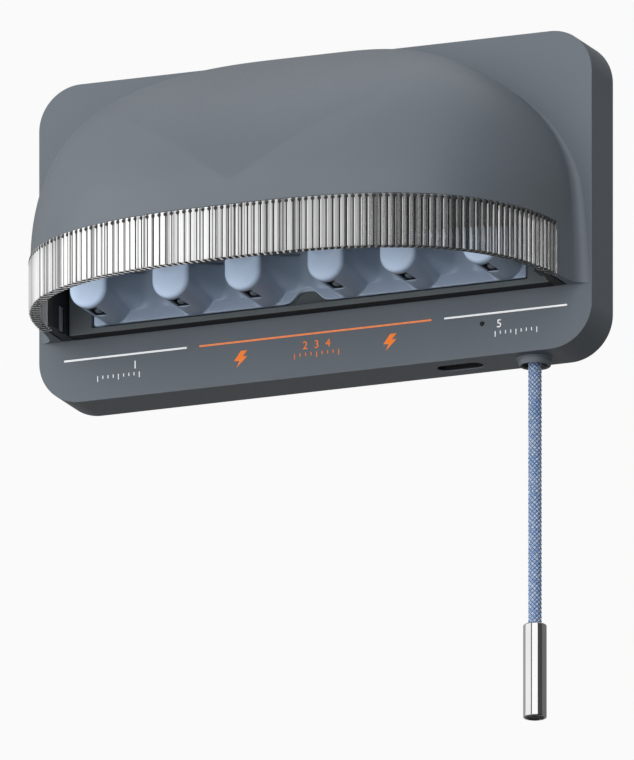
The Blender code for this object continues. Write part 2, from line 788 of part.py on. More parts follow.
def tube(name, z0, z1, r, mat, parent, count):
    """A straight hanging tube: a poly curve with a round bevel and filled caps."""
    data = bpy.data.curves.new(name, "CURVE")
    data.dimensions = "3D"
    data.bevel_depth = r * MM
    data.bevel_resolution = 2
    data.use_fill_caps = True
    spline = data.splines.new("POLY")
    spline.points.add(count - 1)
    for k in range(count):
        spline.points[k].co = (0, 0, (z1 - z0) * MM * k / (count - 1), 1)
    data.materials.append(mat)
    obj = bpy.data.objects.new(name, data)
    scene.collection.objects.link(obj)
    obj.parent, base = ORIGINS[parent]
    obj.location = (Vector((CORD_X, CORD_Y, z0)) - base) * MM
    return obj


tube("cord_inner_end", -38.3, MOUTH_Z, CORD_R, CORD, "pull_origin", 4)
tube("pull_cord", MOUTH_Z - 1.2, HANDLE_TOP + 0.3, CORD_R, CORD, "swing_pivot", 9)

bm = bmesh.new()
turned(
    bm,
    (CORD_X, CORD_Y, 0),
    (0, 0, 1),
    [
        (HANDLE_BOTTOM, HANDLE_R - 0.5),
        (HANDLE_BOTTOM + 0.5, HANDLE_R),
        (HANDLE_TOP - 0.4, HANDLE_R),
        (HANDLE_TOP, HANDLE_R - 0.4),
        (HANDLE_TOP, 1.2),
        (HANDLE_BOTTOM + 1.4, 1.2),
        (HANDLE_BOTTOM + 1.4, HANDLE_R - 0.8),
        (HANDLE_BOTTOM, HANDLE_R - 0.8),
    ],
    24,
    bore=True,
)
place("pull_handle", bm, STEEL, at=(CORD_X, CORD_Y, HANDLE_TOP), parent="swing_pivot")
bm = bmesh.new()
turned(
    bm,
    (CORD_X, CORD_Y, 0),
    (0, 0, 1),
    [(HANDLE_BOTTOM + 0.25, HANDLE_R - 1.1), (HANDLE_BOTTOM + 1.1, HANDLE_R - 1.1)],
    20,
)
place("handle_cap", bm, DARK, at=(CORD_X, CORD_Y, HANDLE_BOTTOM), parent="swing_pivot")

bm = bmesh.new()
turned(
    bm,
    (CORD_X, CORD_Y, 0),
    (0, 0, 1),
    [
        (-60.1, 3.4),
        (-60.1, 5.4),
        (-62.65, 5.4),
        (-62.65, 7.2),
        (-63.4, 7.0),
        (MOUTH_Z, 5.9),
        (MOUTH_Z, 5.1),
        (-63.2, 4.6),
        (-61.6, 3.4),
    ],
    24,
    bore=True,
)
place("cord_grommet", bm, GREY, at=(CORD_X, CORD_Y, -62.65))


def return_spring():
    """Compression spring round the cord, its coil swept along a helix."""
    bm = bmesh.new()
    wire, mean, turns, per = 0.35, 3.3, 7.0, 11
    z0, z1 = -57.5 + wire, SLIDER_Z[0] - 0.3 - wire
    steps, sides = int(turns * per), 4
    loops = []
    for k in range(steps + 1):
        t = k / steps
        a = 2 * math.pi * turns * t
        # closed end turns lie flat, the rest climbs evenly
        u = min(1.0, max(0.0, (t * turns - 1.0) / (turns - 2.0)))
        flat = 2 * wire * 1.25
        z = z0 + flat * min(1.0, t * turns) + (z1 - z0 - 2 * flat) * u
        z += flat * min(1.0, max(0.0, t * turns - (turns - 1.0)))
        out = Vector((math.cos(a), math.sin(a), 0))
        centre = Vector((CORD_X, CORD_Y, z)) + out * mean
        loops.append(
            [
                centre
                + (out * math.cos(2 * math.pi * i / sides) + Vector((0, 0, 1)) * math.sin(2 * math.pi * i / sides))
                * wire
                for i in range(sides)
            ]
        )
    loft(bm, loops)
    return place("return_spring", bm, ZINC, at=(CORD_X, CORD_Y, -57.8))


return_spring()


def lead(name, points, r, mat):
    """A short internal lead, a poly curve through a smooth bend."""
    data = bpy.data.curves.new(name, "CURVE")
    data.dimensions = "3D"
    data.bevel_depth = r * MM
    data.bevel_resolution = 1
    data.use_fill_caps = True
    smooth = []
    pts = [Vector(p) for p in points]
    pad = [pts[0] * 2 - pts[1]] + pts + [pts[-1] * 2 - pts[-2]]
    for a, b, c, d in zip(pad, pad[1:], pad[2:], pad[3:]):
        for k in range(4):
            t = k / 4
            smooth.append(
                0.5
                * (
                    2 * b
                    + (c - a) * t
                    + (2 * a - 5 * b + 4 * c - d) * t * t
                    + (3 * b - a - 3 * c + d) * t**3
                )
            )
    smooth.append(pts[-1])
    spline = data.splines.new("POLY")
    spline.points.add(len(smooth) - 1)
    for point, p in zip(spline.points, smooth):
        q = (p - pts[0]) * MM
        point.co = (q.x, q.y, q.z, 1)
    data.materials.append(mat)
    obj = bpy.data.objects.new(name, data)
    scene.collection.objects.link(obj)
    obj.parent, base = ORIGINS["lift_origin"]
    obj.location = (pts[0] - base) * MM


lead("battery_lead", [(-3.6, -10.5, -40), (4, -10.4, -41), (12, -11.0, -38), (21.6, -13.5, -38)], 0.9, WIRE)
lead("uv_board_lead", [(36, -9.6, -3.2), (36.2, -8.9, -7.5), (37, -9.0, -10.5), (38, -11.4, -13.6), (38.3, -13.4, -15.6)], 0.9, WIRE)

# ---------------------------------------------------------------- wall side
bm = bmesh.new()
slab(bm, rounded(73.0, 28.0, 5.0, 3, cz=10.0), 0.0, -0.8)
place("adhesive_pad", bm, FOAM, at=(0, 0, 0), parent="wall_origin")
bm = bmesh.new()
slab(bm, rounded(75.0, 30.0, 6.0, 4, cz=10.0), -1.1, -2.7)
place("wall_plate", bm, ZINC, at=(0, -1.1, 10), parent="wall_origin")
for side, word in ((-1, "left"), (1, "right")):
    bm = bmesh.new()
    turned(
        bm,
        (side * STUD_X, -3.0, STUD_Z),
        (0, -1, 0),
        [(0, 2.1), (2.6, 2.1), (2.6, 4.0), (3.6, 4.0), (4.1, 3.4)],
        18,
    )
    place("wall_stud_" + word, bm, ZINC, at=(side * STUD_X, -3.0, STUD_Z), parent="wall_origin")
    bm = bmesh.new()
    turned(bm, (side * 90.0, -0.3, -32.0), (0, -1, 0), [(0, 4.4), (0.6, 5.0), (2.7, 5.0)], 18)
    place("wall_bumper_" + word, bm, RUBBER, at=(side * 90.0, -3.0, -32.0))
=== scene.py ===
"""Looks of the wall-mounted toothbrush steriliser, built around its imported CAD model.

Lengths in the builders below are millimetres in the CAD frame: the wall is y = 0,
the object stands out along -Y, +X is to the right and +Z is up.
"""

import math

import bmesh
import bpy
import numpy as np
from mathutils import Matrix, Vector


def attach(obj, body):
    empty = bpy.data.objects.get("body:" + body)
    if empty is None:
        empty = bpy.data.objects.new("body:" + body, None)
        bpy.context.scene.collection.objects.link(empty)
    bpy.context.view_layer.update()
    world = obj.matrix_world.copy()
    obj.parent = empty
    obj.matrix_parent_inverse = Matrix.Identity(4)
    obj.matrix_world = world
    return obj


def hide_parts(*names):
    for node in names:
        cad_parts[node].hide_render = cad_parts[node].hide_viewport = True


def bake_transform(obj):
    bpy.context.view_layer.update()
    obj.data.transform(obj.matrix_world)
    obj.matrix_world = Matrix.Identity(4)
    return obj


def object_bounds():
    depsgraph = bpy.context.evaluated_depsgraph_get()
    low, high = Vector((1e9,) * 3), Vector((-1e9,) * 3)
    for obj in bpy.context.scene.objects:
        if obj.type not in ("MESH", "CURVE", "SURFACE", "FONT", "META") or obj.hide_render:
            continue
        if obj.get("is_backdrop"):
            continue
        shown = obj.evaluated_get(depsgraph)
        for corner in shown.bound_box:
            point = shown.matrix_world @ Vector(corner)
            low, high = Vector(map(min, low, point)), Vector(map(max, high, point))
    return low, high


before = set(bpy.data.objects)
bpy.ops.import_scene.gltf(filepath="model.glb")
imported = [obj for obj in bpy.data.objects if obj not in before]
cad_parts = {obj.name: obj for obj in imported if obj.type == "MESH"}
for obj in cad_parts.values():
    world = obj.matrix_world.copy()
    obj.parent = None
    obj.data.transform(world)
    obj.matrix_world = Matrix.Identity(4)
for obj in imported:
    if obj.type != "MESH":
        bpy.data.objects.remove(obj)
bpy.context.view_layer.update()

MM = 0.001
scene = bpy.context.scene
scene.view_settings.view_transform = "Standard"
scene.view_settings.look = "None"

# ---------------------------------------------------------------- dimensions, as in the CAD
WIDTH, HEIGHT = 226.0, 124.7
BACK, FRONT = -0.5, -21.4
CORNER_R, WALL = 17.0, 2.2
HOOD_A, HOOD_B = 105.6, 85.5
HOOD_TOP, HOOD_BOTTOM, RIM_Z = HEIGHT / 2, -38.0, -17.3
ARCH_Z0, ARCH_N, DEPTH_Z0, DEPTH_N = -6.8, 2.13, -9.7, 1.48
PLAN_N = (2.66, -1.45, 4.98)
HOOD_WALL, LEG_DEPTH, FLARE, FLARE_TOP = 2.4, 14.7, 4.4, 6.0
RING_TOP, RING_WALL = -17.6, 3.6
FRAME_HALF, FRAME_FRONT, FRAME_TOP, POCKET_FLOOR = 98.1, -27.5, -12.0, -24.5
TRAY_HALF, TRAY_BOTTOM, TRAY_TOP, TRAY_FRONT, TRAY_BACK = 88.3, -34.9, -16.2, -26.8, -24.8
PEG_X = (-80.2, -46.5, -16.9, 16.9, 46.5, 80.2)
PEG_R, PEG_AXIS_Z, PEG_TOP, PEG_TIP = 7.2, -27.7, -21.0, -53.9
NOTCH_X, NOTCH_HALF, NOTCH_HEIGHT = -1.2, 8.9, 5.7
PEG_LENS_Y = -41.0
CORD_X, CORD_Y, MOUTH_Z, CORD_R = 85.4, -10.95, -65.4, 2.45
HANDLE_TOP, HANDLE_BOTTOM, HANDLE_R = -166.8, -203.2, 4.45
USB_X, USB_Y = 55.0, -10.95
PIPE_X, PIPE_Z = 68.2, -49.5
LAMP_Z = 2.0
HOOD_SCREWS = ((-40.0, 54.0), (40.0, 54.0), (-100.3, 0.0), (100.3, 0.0))
COVER_SCREWS = ((-100.0, -48.0), (100.0, -48.0), (-100.0, 48.0), (100.0, 48.0))
BOARD_SCREWS = ((28.0, -22.0), (60.0, -22.0))
FRAME_SCREWS = ((-93.5, -25.0), (93.5, -25.0))


# ---------------------------------------------------------------- camera
VIEW_AZ, VIEW_EL = math.radians(22.6), math.radians(-15.803)
VIEW_BACK = Vector(
    (math.sin(VIEW_AZ) * math.cos(VIEW_EL), -math.cos(VIEW_AZ) * math.cos(VIEW_EL), math.sin(VIEW_EL))
)
VIEW_RIGHT = Vector((math.cos(VIEW_AZ), math.sin(VIEW_AZ), 0))
VIEW_TURN = Matrix((VIEW_RIGHT, VIEW_BACK.cross(VIEW_RIGHT), VIEW_BACK)).transposed().to_4x4()
VIEW_CENTRE = Vector((12.775, -50.5, -73.15)) * MM


def make_camera():
    """Parallel projection: the photograph's edges run parallel, with no vanishing."""
    data = bpy.data.cameras.new("camera")
    data.type = "ORTHO"
    data.ortho_scale = 0.28684
    data.clip_start, data.clip_end = 0.01, 20.0
    cam = bpy.data.objects.new("camera", data)
    scene.collection.objects.link(cam)
    cam.matrix_world = Matrix.Translation(VIEW_CENTRE + VIEW_BACK * 0.9) @ VIEW_TURN
    scene.camera = cam


make_camera()


# ---------------------------------------------------------------- materials
class Shade:
    """A Principled material whose pattern comes from nodes on the object's own coordinates."""

    def __init__(self, name, rough=0.5, metal=0.0, colour=None, **sockets):
        self.mat = bpy.data.materials.new(name)
        self.mat.use_nodes = True
        self.tree = self.mat.node_tree
        self.shader = self.tree.nodes["Principled BSDF"]
        self.shader.inputs["Roughness"].default_value = rough
        self.shader.inputs["Metallic"].default_value = metal
        if colour:
            self.shader.inputs["Base Color"].default_value = (*colour, 1)
            self.mat.diffuse_color = (*colour, 1)
        for key, value in sockets.items():
            self.shader.inputs[key.replace("_", " ")].default_value = value
        self.where = self.tree.nodes.new("ShaderNodeTexCoord").outputs["Object"]

    def node(self, kind, **settings):
        n = self.tree.nodes.new("ShaderNode" + kind)
        for key, value in settings.items():
            if key in n.inputs:
                n.inputs[key].default_value = value
            elif hasattr(n, key.lower()):
                setattr(n, key.lower(), value)
            else:
                n.inputs[key.replace("_", " ")].default_value = value
        return n

    def link(self, a, b):
        self.tree.links.new(a, b)

    def stretched(self, scale):
        n = self.node("Mapping")
        n.inputs["Scale"].default_value = scale
        self.link(self.where, n.inputs["Vector"])
        return n.outputs[0]

    def noise(self, scale, detail=2.0, rough=0.5, vector=None):
        n = self.node("TexNoise", Scale=scale, Detail=detail, Roughness=rough)
        self.link(vector or self.where, n.inputs["Vector"])
        return n.outputs["Fac"]

    def wave(self, scale, direction="X", distortion=0.0, vector=None):
        n = self.node("TexWave", Scale=scale, Distortion=distortion)
        n.bands_direction = direction
        self.link(vector or self.where, n.inputs["Vector"])
        return n.outputs["Fac"]

    def cells(self, scale, vector=None, feature="F1"):
        n = self.node("TexVoronoi", Scale=scale)
        n.feature = feature
        self.link(vector or self.where, n.inputs["Vector"])
        return n.outputs["Distance"]

    def ramp(self, value, stops, smooth=False):
        n = self.node("ValToRGB")
        ramp = n.color_ramp
        ramp.interpolation = "EASE" if smooth else "LINEAR"
        while len(ramp.elements) < len(stops):
            ramp.elements.new(0.5)
        for e, (at, colour) in zip(ramp.elements, stops):
            e.position = at
            if not hasattr(colour, "__len__"):
                colour = (colour,) * 3
            e.color = (*colour, 1)
        self.link(value, n.inputs[0])
        return n.outputs[0]

    def math(self, kind, a, b=None, clamp=False):
        n = self.node("Math")
        n.operation, n.use_clamp = kind, clamp
        for slot, v in ((0, a), (1, b)):
            if v is None:
                continue
            if isinstance(v, (int, float)):
                n.inputs[slot].default_value = v
            else:
                self.link(v, n.inputs[slot])
        return n.outputs[0]

    def mix(self, fac, a, b, blend="MIX"):
        n = self.node("Mix")
        n.data_type, n.blend_type = "RGBA", blend
        for slot, v in ((0, fac), (6, a), (7, b)):
            if isinstance(v, (int, float)):
                n.inputs[slot].default_value = v
            elif hasattr(v, "__len__"):
                n.inputs[slot].default_value = (*v, 1)
            else:
                self.link(v, n.inputs[slot])
        return n.outputs[2]

    def colour(self, out):
        self.link(out, self.shader.inputs["Base Color"])

    def rough(self, out):
        self.link(out, self.shader.inputs["Roughness"])

    def bump(self, height, strength=0.1, distance=0.0001, over=None):
        n = self.node("Bump", Strength=strength, Distance=distance)
        self.link(height, n.inputs["Height"])
        if over is not None:
            self.link(over, n.inputs["Normal"])
        self.link(n.outputs[0], self.shader.inputs["Normal"])
        return n.outputs[0]


def tinted(colour, f):
    return tuple(min(1.0, c * f) for c in colour)


def moulded(name, colour, rough=0.45, grain=0.08, vary=0.035, **sockets):
    """Spark-eroded moulded plastic: fine even grain, and a faint cloudiness of tone and gloss."""
    m = Shade(name, rough, colour=colour, **sockets)
    cloud = m.noise(14.0, 3.0, 0.55)
    m.colour(m.ramp(cloud, [(0.3, tinted(colour, 1 - vary)), (0.7, tinted(colour, 1 + vary))]))
    fine = m.noise(2600.0, 3.0, 0.6)
    m.rough(m.ramp(m.noise(900.0, 2.0), [(0.25, rough - 0.05), (0.75, rough + 0.05)]))
    m.bump(fine, grain, 0.00008)
    return m.mat


def turned_metal(name, colour, rough=0.15, across=1.0, lines=0.05):
    """Metal with the fine circular marks that turning and polishing leave."""
    m = Shade(name, rough, 1.0, colour=colour)
    marks = m.noise(5000.0, 2.0, 0.6, m.stretched((across, across, 1.0)))
    m.colour(m.ramp(m.noise(60.0, 2.0), [(0.3, tinted(colour, 0.965)), (0.7, tinted(colour, 1.02))]))
    m.rough(m.ramp(marks, [(0.3, max(0.02, rough - 0.03)), (0.7, rough + 0.04)]))
    m.bump(marks, lines, 0.00002)
    return m.mat


GREY = (0.146, 0.172, 0.200)
shell = moulded("shell_grey", GREY, 0.46, 0.06)
frame_grey = moulded("frame_grey", (0.12, 0.137, 0.144), 0.5, 0.08)
dark = moulded("dark_plastic", (0.012, 0.013, 0.014), 0.42, 0.08, 0.1)
slot_grey = moulded("bracket_slot_grey", (0.28, 0.29, 0.3), 0.45, 0.08)
rubber = moulded("black_rubber", (0.02, 0.02, 0.021), 0.7, 0.2, 0.1)
black_underside = moulded("frame_underside_black", (0.006, 0.006, 0.007), 0.6, 0.05, 0.1)
nylon = moulded("white_nylon", (0.68, 0.67, 0.63), 0.42, 0.06)
zinc = turned_metal("zinc_steel", (0.55, 0.56, 0.57), 0.3, 1.0, 0.08)
chrome = turned_metal("polished_steel", (0.55, 0.55, 0.555), 0.055, 0.02, 0.02)
bright = turned_metal("polished_aluminium", (0.86, 0.87, 0.88), 0.1, 0.05, 0.05)


def tray_material():
    # the second colour is a painted highlight for the pegs' tip ends
    colour, tip = (0.385, 0.475, 0.61), (0.62, 0.77, 1.0)
    m = Shade("tray_blue", 0.36, colour=colour, Coat_Weight=0.15, Coat_Roughness=0.25)
    wall = m.ramp(m.noise(22.0, 3.0), [(0.3, tinted(colour, 0.97)), (0.7, tinted(colour, 1.03))])
    # painted highlight: each peg's tip is painted paler than the wall behind it, as if it were lit more
    cut = m.node("SeparateXYZ")
    m.link(m.where, cut.inputs[0])
    near = m.math("ADD", m.math("MULTIPLY", cut.outputs[1], -420.0), -21.3, clamp=True)
    m.colour(m.mix(near, wall, tip))
    # painted glow: an emission on the pegs' tip ends, strongest at the left, and on the tray's left end, stands for
    # light that falls on them
    along = m.math("ADD", m.math("MULTIPLY", cut.outputs[0], 5.0), 0.5)
    painted_tip_glow = m.math("MULTIPLY", m.ramp(along, [(0.06, 0.19), (0.3, 0.07), (0.55, 0.0)]), near)
    end = m.ramp(along, [(0.06, 0.2), (0.085, 0.0)])
    m.shader.inputs["Emission Color"].default_value = (0.62, 0.78, 1.0, 1.0)
    m.link(m.math("ADD", painted_tip_glow, end), m.shader.inputs["Emission Strength"])
    m.rough(m.ramp(m.noise(1200.0, 2.0), [(0.25, 0.32), (0.75, 0.4)]))
    m.bump(m.noise(2400.0, 3.0), 0.04, 0.00006)
    return m.mat


def clear_material(name="clear_acrylic", clearness=0.96):
    """Clear acrylic with faint moulding flow in it, and painted light: lighter stripes, a whiter left side and a glow.
    """
    m = Shade(name, 0.02, colour=(0.95, 0.955, 0.96), Transmission_Weight=clearness, IOR=1.49)
    m.rough(m.ramp(m.noise(180.0, 2.0), [(0.3, 0.01), (0.7, 0.03)]))
    # painted light: lighter stripes along the flutes stand for their highlights; towards the left it is less clear, so
    # that more white shows, and it has a painted glow there
    streak = m.noise(1000.0, 1.0, 0.5, m.stretched((1.0, 1.0, 0.0)))
    painted_stripes = m.ramp(streak, [(0.38, 0.2), (0.46, 0.8), (0.54, 1.0)])
    m.colour(painted_stripes)
    cut = m.node("SeparateXYZ")
    m.link(m.where, cut.inputs[0])
    place = m.math("ADD", m.math("MULTIPLY", cut.outputs[0], 4.7), 0.5)
    painted_light_clearness = m.ramp(place, [(0.0, 0.36), (0.35, 0.38), (0.64, 0.62), (0.85, 0.92), (1.0, 0.96)])
    m.link(m.math("MULTIPLY", painted_light_clearness, clearness), m.shader.inputs["Transmission Weight"])
    painted_glow = m.ramp(place, [(0.04, 0.02), (0.17, 0.3), (0.32, 0.3), (0.6, 0.07), (0.8, 0.0)])
    m.link(painted_stripes, m.shader.inputs["Emission Color"])
    m.link(painted_glow, m.shader.inputs["Emission Strength"])
    # light falls through it onto the tray as through a thin clear wall
    path = m.node("LightPath")
    falls = m.math("MAXIMUM", path.outputs["Is Shadow Ray"], path.outputs["Is Diffuse Ray"])
    thin = m.node("BsdfTransparent")
    thin.inputs["Color"].default_value = (0.92, 0.925, 0.93, 1)
    both = m.node("MixShader")
    m.link(falls, both.inputs[0])
    m.link(m.shader.outputs[0], both.inputs[1])
    m.link(thin.outputs[0], both.inputs[2])
    m.link(both.outputs[0], m.tree.nodes["Material Output"].inputs["Surface"])
    return m.mat


def quartz_material():
    m = Shade("quartz", 0.02, colour=(0.95, 0.97, 1.0), Transmission_Weight=1.0, IOR=1.46)
    m.rough(m.ramp(m.noise(80.0), [(0.3, 0.01), (0.7, 0.04)]))
    return m.mat


def cord_material():
    """Braided polyester: blue yarns with a lighter fleck, partly pale yarn and partly a painted glint, and painted
    shade where the strands dip, from the braid's own strand grid.
    """
    base, pale, deep = (0.20, 0.37, 0.70), (0.85, 0.92, 1.0), (0.035, 0.085, 0.21)
    m = Shade("cord_braid", 0.42, colour=base, Sheen_Weight=0.35, Sheen_Roughness=0.4)
    uv = m.tree.nodes.new("ShaderNodeUVMap")
    uv.uv_map = "braid"
    cut = m.node("SeparateXYZ")
    m.link(uv.outputs[0], cut.inputs[0])
    u, v = cut.outputs[0], cut.outputs[1]
    p, q = m.math("ADD", u, v), m.math("SUBTRACT", u, v)
    ip, iq = m.math("FLOOR", p), m.math("FLOOR", q)
    fp, fq = m.math("FRACT", p), m.math("FRACT", q)
    over = m.math("PINGPONG", m.math("ADD", ip, iq), 1.0)
    # across the strand that is on top in this cell, and along it
    keep = m.math("SUBTRACT", 1.0, over)
    across = m.math("ADD", m.math("MULTIPLY", fp, keep), m.math("MULTIPLY", fq, over))
    length = m.math("ADD", m.math("MULTIPLY", fq, keep), m.math("MULTIPLY", fp, over))
    # fine yarns inside the strand
    yarn = m.math("SINE", m.math("MULTIPLY", across, 6.2832 * 3.0))
    edge = m.math("ABSOLUTE", m.math("SUBTRACT", length, 0.5))
    side = m.math("ABSOLUTE", m.math("SUBTRACT", across, 0.5))
    dip = m.math("MAXIMUM", edge, side)
    grid = m.node("CombineXYZ")
    m.link(ip, grid.inputs[0])
    m.link(iq, grid.inputs[1])
    spot = m.node("TexWhiteNoise")
    spot.noise_dimensions = "2D"
    m.link(grid.outputs[0], spot.inputs["Vector"])
    shade = m.ramp(m.noise(900.0, 2.0, 0.6), [(0.3, tinted(base, 0.8)), (0.7, tinted(base, 1.25))])
    # pale flecks on some strands: partly pale yarn, partly painted glints
    fleck = m.ramp(spot.outputs["Value"], [(0.35, 0.0), (0.7, 0.3), (0.97, 0.5)])
    colour = m.mix(fleck, shade, pale)
    # loose fibres: fine pale and dark specks over the strands
    fibre = m.noise(2600.0, 2.0, 0.6)
    colour = m.mix(m.ramp(fibre, [(0.54, 0.0), (0.62, 0.7)]), colour, pale)
    colour = m.mix(m.ramp(fibre, [(0.36, 0.65), (0.44, 0.0)]), colour, deep)
    lines = m.ramp(yarn, [(0.0, 0.0), (1.0, 0.25)])
    colour = m.mix(lines, colour, pale)
    # painted shade: darker where each strand dips under the crossing ones
    colour = m.mix(m.ramp(dip, [(0.31, 0.0), (0.47, 0.95)]), colour, deep)
    m.colour(colour)
    m.bump(yarn, 0.35, 0.00006)
    return m.mat


def board_material():
    m = Shade("circuit_board", 0.45, colour=(0.02, 0.12, 0.055))
    tracks = m.wave(420.0, "X", 3.0)
    m.colour(m.ramp(tracks, [(0.0, (0.014, 0.10, 0.045)), (0.6, (0.02, 0.13, 0.06)), (0.75, (0.05, 0.22, 0.10))]))
    m.bump(tracks, 0.15, 0.00005)
    return m.mat


def foam_material():
    m = Shade("foam", 0.95, colour=(0.05, 0.05, 0.052))
    pores = m.cells(1500.0)
    m.colour(m.ramp(pores, [(0.1, (0.02, 0.02, 0.021)), (0.5, (0.06, 0.06, 0.062))]))
    m.bump(pores, 0.6, 0.0003)
    return m.mat


def wrap_material():
    m = Shade("cell_wrap", 0.35, colour=(0.33, 0.34, 0.36))
    m.colour(m.ramp(m.noise(30.0, 4.0), [(0.3, (0.29, 0.3, 0.32)), (0.7, (0.37, 0.38, 0.4))]))
    m.bump(m.noise(60.0, 5.0, 0.6), 0.25, 0.0004)
    return m.mat


def ceramic_material():
    m = Shade("lamp_ceramic", 0.4, colour=(0.76, 0.72, 0.55))
    m.colour(m.ramp(m.noise(500.0), [(0.3, (0.72, 0.68, 0.5)), (0.7, (0.8, 0.76, 0.6))]))
    return m.mat


def wire_material():
    m = Shade("red_wire", 0.4, colour=(0.42, 0.03, 0.02))
    m.colour(m.ramp(m.noise(300.0), [(0.3, (0.36, 0.025, 0.02)), (0.7, (0.48, 0.035, 0.025))]))
    return m.mat


def ink(name, colour):
    """Pad-printed ink: slightly uneven cover with a satin surface, and a painted glow: a little emission of its own
    that brightens it.
    """
    m = Shade(name, 0.5, colour=colour, Emission_Color=(*colour, 1), Emission_Strength=0.22)
    m.colour(m.ramp(m.noise(700.0, 3.0), [(0.3, tinted(colour, 0.94)), (0.7, tinted(colour, 1.03))]))
    m.bump(m.noise(3000.0, 2.0), 0.1, 0.00003)
    return m.mat


tray_blue, clear, quartz = tray_material(), clear_material(), quartz_material()
braid, board, foam, wrap = cord_material(), board_material(), foam_material(), wrap_material()
ceramic, wire = ceramic_material(), wire_material()
white_ink = ink("white_ink", (0.97, 0.98, 1.0))
orange_ink = ink("orange_ink", (1.0, 0.225, 0.02))
orange_line_ink = ink("orange_line_ink", (0.95, 0.27, 0.09))
lens_glass = moulded("lens_dark", (0.16, 0.19, 0.24), 0.16, 0.01)
liner_dark = moulded("slot_liner", (0.018, 0.023, 0.032), 0.4, 0.05, 0.1)
# painted shade for the ring's valleys and lower edge
acrylic_painted_shade = moulded("acrylic_painted_shade", (0.024, 0.025, 0.026), 0.2, 0.01, 0.1, Specular_IOR_Level=0.15)
# painted highlight for one flank of each flute
acrylic_painted_highlight = clear_material("acrylic_painted_highlight", 0.42)


# ---------------------------------------------------------------- mesh tools
def piece(name, points, faces, mat, body="unit", replaces=(), smooth=32, uv=None):
    """A piece from points in millimetres."""
    mesh = bpy.data.meshes.new(name)
    mesh.from_pydata([tuple(p) for p in np.asarray(points, float) * MM], [], [tuple(f) for f in faces])
    mesh.validate()
    return dress(name, mesh, mat, body, replaces, smooth)


def dress(name, mesh, mat, body="unit", replaces=(), smooth=32, fix=True):
    if fix:
        bm = bmesh.new()
        bm.from_mesh(mesh)
        bmesh.ops.recalc_face_normals(bm, faces=bm.faces)
        bm.to_mesh(mesh)
        bm.free()
    mesh.materials.clear()
    mesh.materials.append(mat)
    obj = bpy.data.objects.new(name, mesh)
    scene.collection.objects.link(obj)
    if smooth:
        mesh.shade_smooth()
        mesh.set_sharp_from_angle(angle=math.radians(smooth))
    if body:
        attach(obj, body)
    if replaces:
        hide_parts(*replaces)
    return obj


def from_bm(name, bm, mat, body="unit", replaces=(), smooth=32):
    mesh = bpy.data.meshes.new(name)
    bmesh.ops.transform(bm, matrix=Matrix.Scale(MM, 4), verts=bm.verts)
    bm.to_mesh(mesh)
    bm.free()
    return dress(name, mesh, mat, body, replaces, smooth)


def loft(bm, loops, ends=True):
    rings = [[bm.verts.new(p) for p in loop] for loop in loops]
    n = len(rings[0])
    for a, b in zip(rings, rings[1:]):
        for i in range(n):
            j = (i + 1) % n
            bm.faces.new((a[i], a[j], b[j], b[i]))
    if ends:
        bm.faces.new(rings[0][::-1])
        bm.faces.new(rings[-1])
    return rings


def box(bm, x0, x1, y0, y1, z0, z1):
    xs, ys, zs = sorted((x0, x1)), sorted((y0, y1)), sorted((z0, z1))
    loft(bm, [[(xs[0], ys[0], z), (xs[1], ys[0], z), (xs[1], ys[1], z), (xs[0], ys[1], z)] for z in zs])


def turned(bm, centre, axis, profile, n=64, bore=False):
    axis = Vector(axis).normalized()
    side = Vector((0, 0, 1)) if abs(axis.z) < 0.9 else Vector((1, 0, 0))
    u = side.cross(axis).normalized()
    w = axis.cross(u)
    centre = Vector(centre)
    loops = [
        [
            centre + axis * t + (u * math.cos(2 * math.pi * i / n) + w * math.sin(2 * math.pi * i / n)) * r
            for i in range(n)
        ]
        for t, r in profile
    ]
    if not bore:
        loft(bm, loops)
        return
    rings = [[bm.verts.new(p) for p in loop] for loop in loops]
    for a, b in zip(rings, rings[1:] + rings[:1]):
        for i in range(n):
            j = (i + 1) % n
            bm.faces.new((a[i], a[j], b[j], b[i]))


def rod(bm, start, end, r, n=32):
    start, end = Vector(start), Vector(end)
    turned(bm, start, end - start, [(0, r), ((end - start).length, r)], n)


def rounded(half_w, half_h, r, steps=8, cx=0.0, cz=0.0):
    pts = []
    for sx, sz, a0 in ((1, 1, 0), (-1, 1, 90), (-1, -1, 180), (1, -1, 270)):
        for k in range(steps + 1):
            a = math.radians(a0 + 90.0 * k / steps)
            pts.append((cx + sx * (half_w - r) + r * math.cos(a), cz + sz * (half_h - r) + r * math.sin(a)))
    return pts


def slab(bm, outline, y0, y1, r0=0.0, r1=0.0, inset=None, steps=5):
    """An (x, z) outline from y0 to y1, with round edges of radius r0 and r1."""
    loops = []
    way = math.copysign(1, y1 - y0)
    if r0:
        for k in range(steps + 1):
            a = math.pi / 2 * k / steps
            loops.append([(x, y0 + way * r0 * (1 - math.sin(a)), z) for x, z in inset(r0 * (1 - math.cos(a)))])
        loops = loops[::-1]
    else:
        loops.append([(x, y0, z) for x, z in outline])
    if r1:
        for k in range(steps + 1):
            a = math.pi / 2 * k / steps
            loops.append([(x, y1 - way * r1 * (1 - math.sin(a)), z) for x, z in inset(r1 * (1 - math.cos(a)))])
    else:
        loops.append([(x, y1, z) for x, z in outline])
    loft(bm, loops)


def stadium(bm, cx, cy, stages, steps=14):
    """A tapering slot along Z: stages are (z, half length, radius)."""
    loops = []
    for z, half, r in stages:
        pts = []
        for side, a0 in ((1, -90), (-1, 90)):
            for k in range(steps + 1):
                a = math.radians(a0 + 180.0 * k / steps)
                pts.append((cx + side * (half - r) + r * math.cos(a), cy + r * math.sin(a), z))
        loops.append(pts)
    loft(bm, loops)


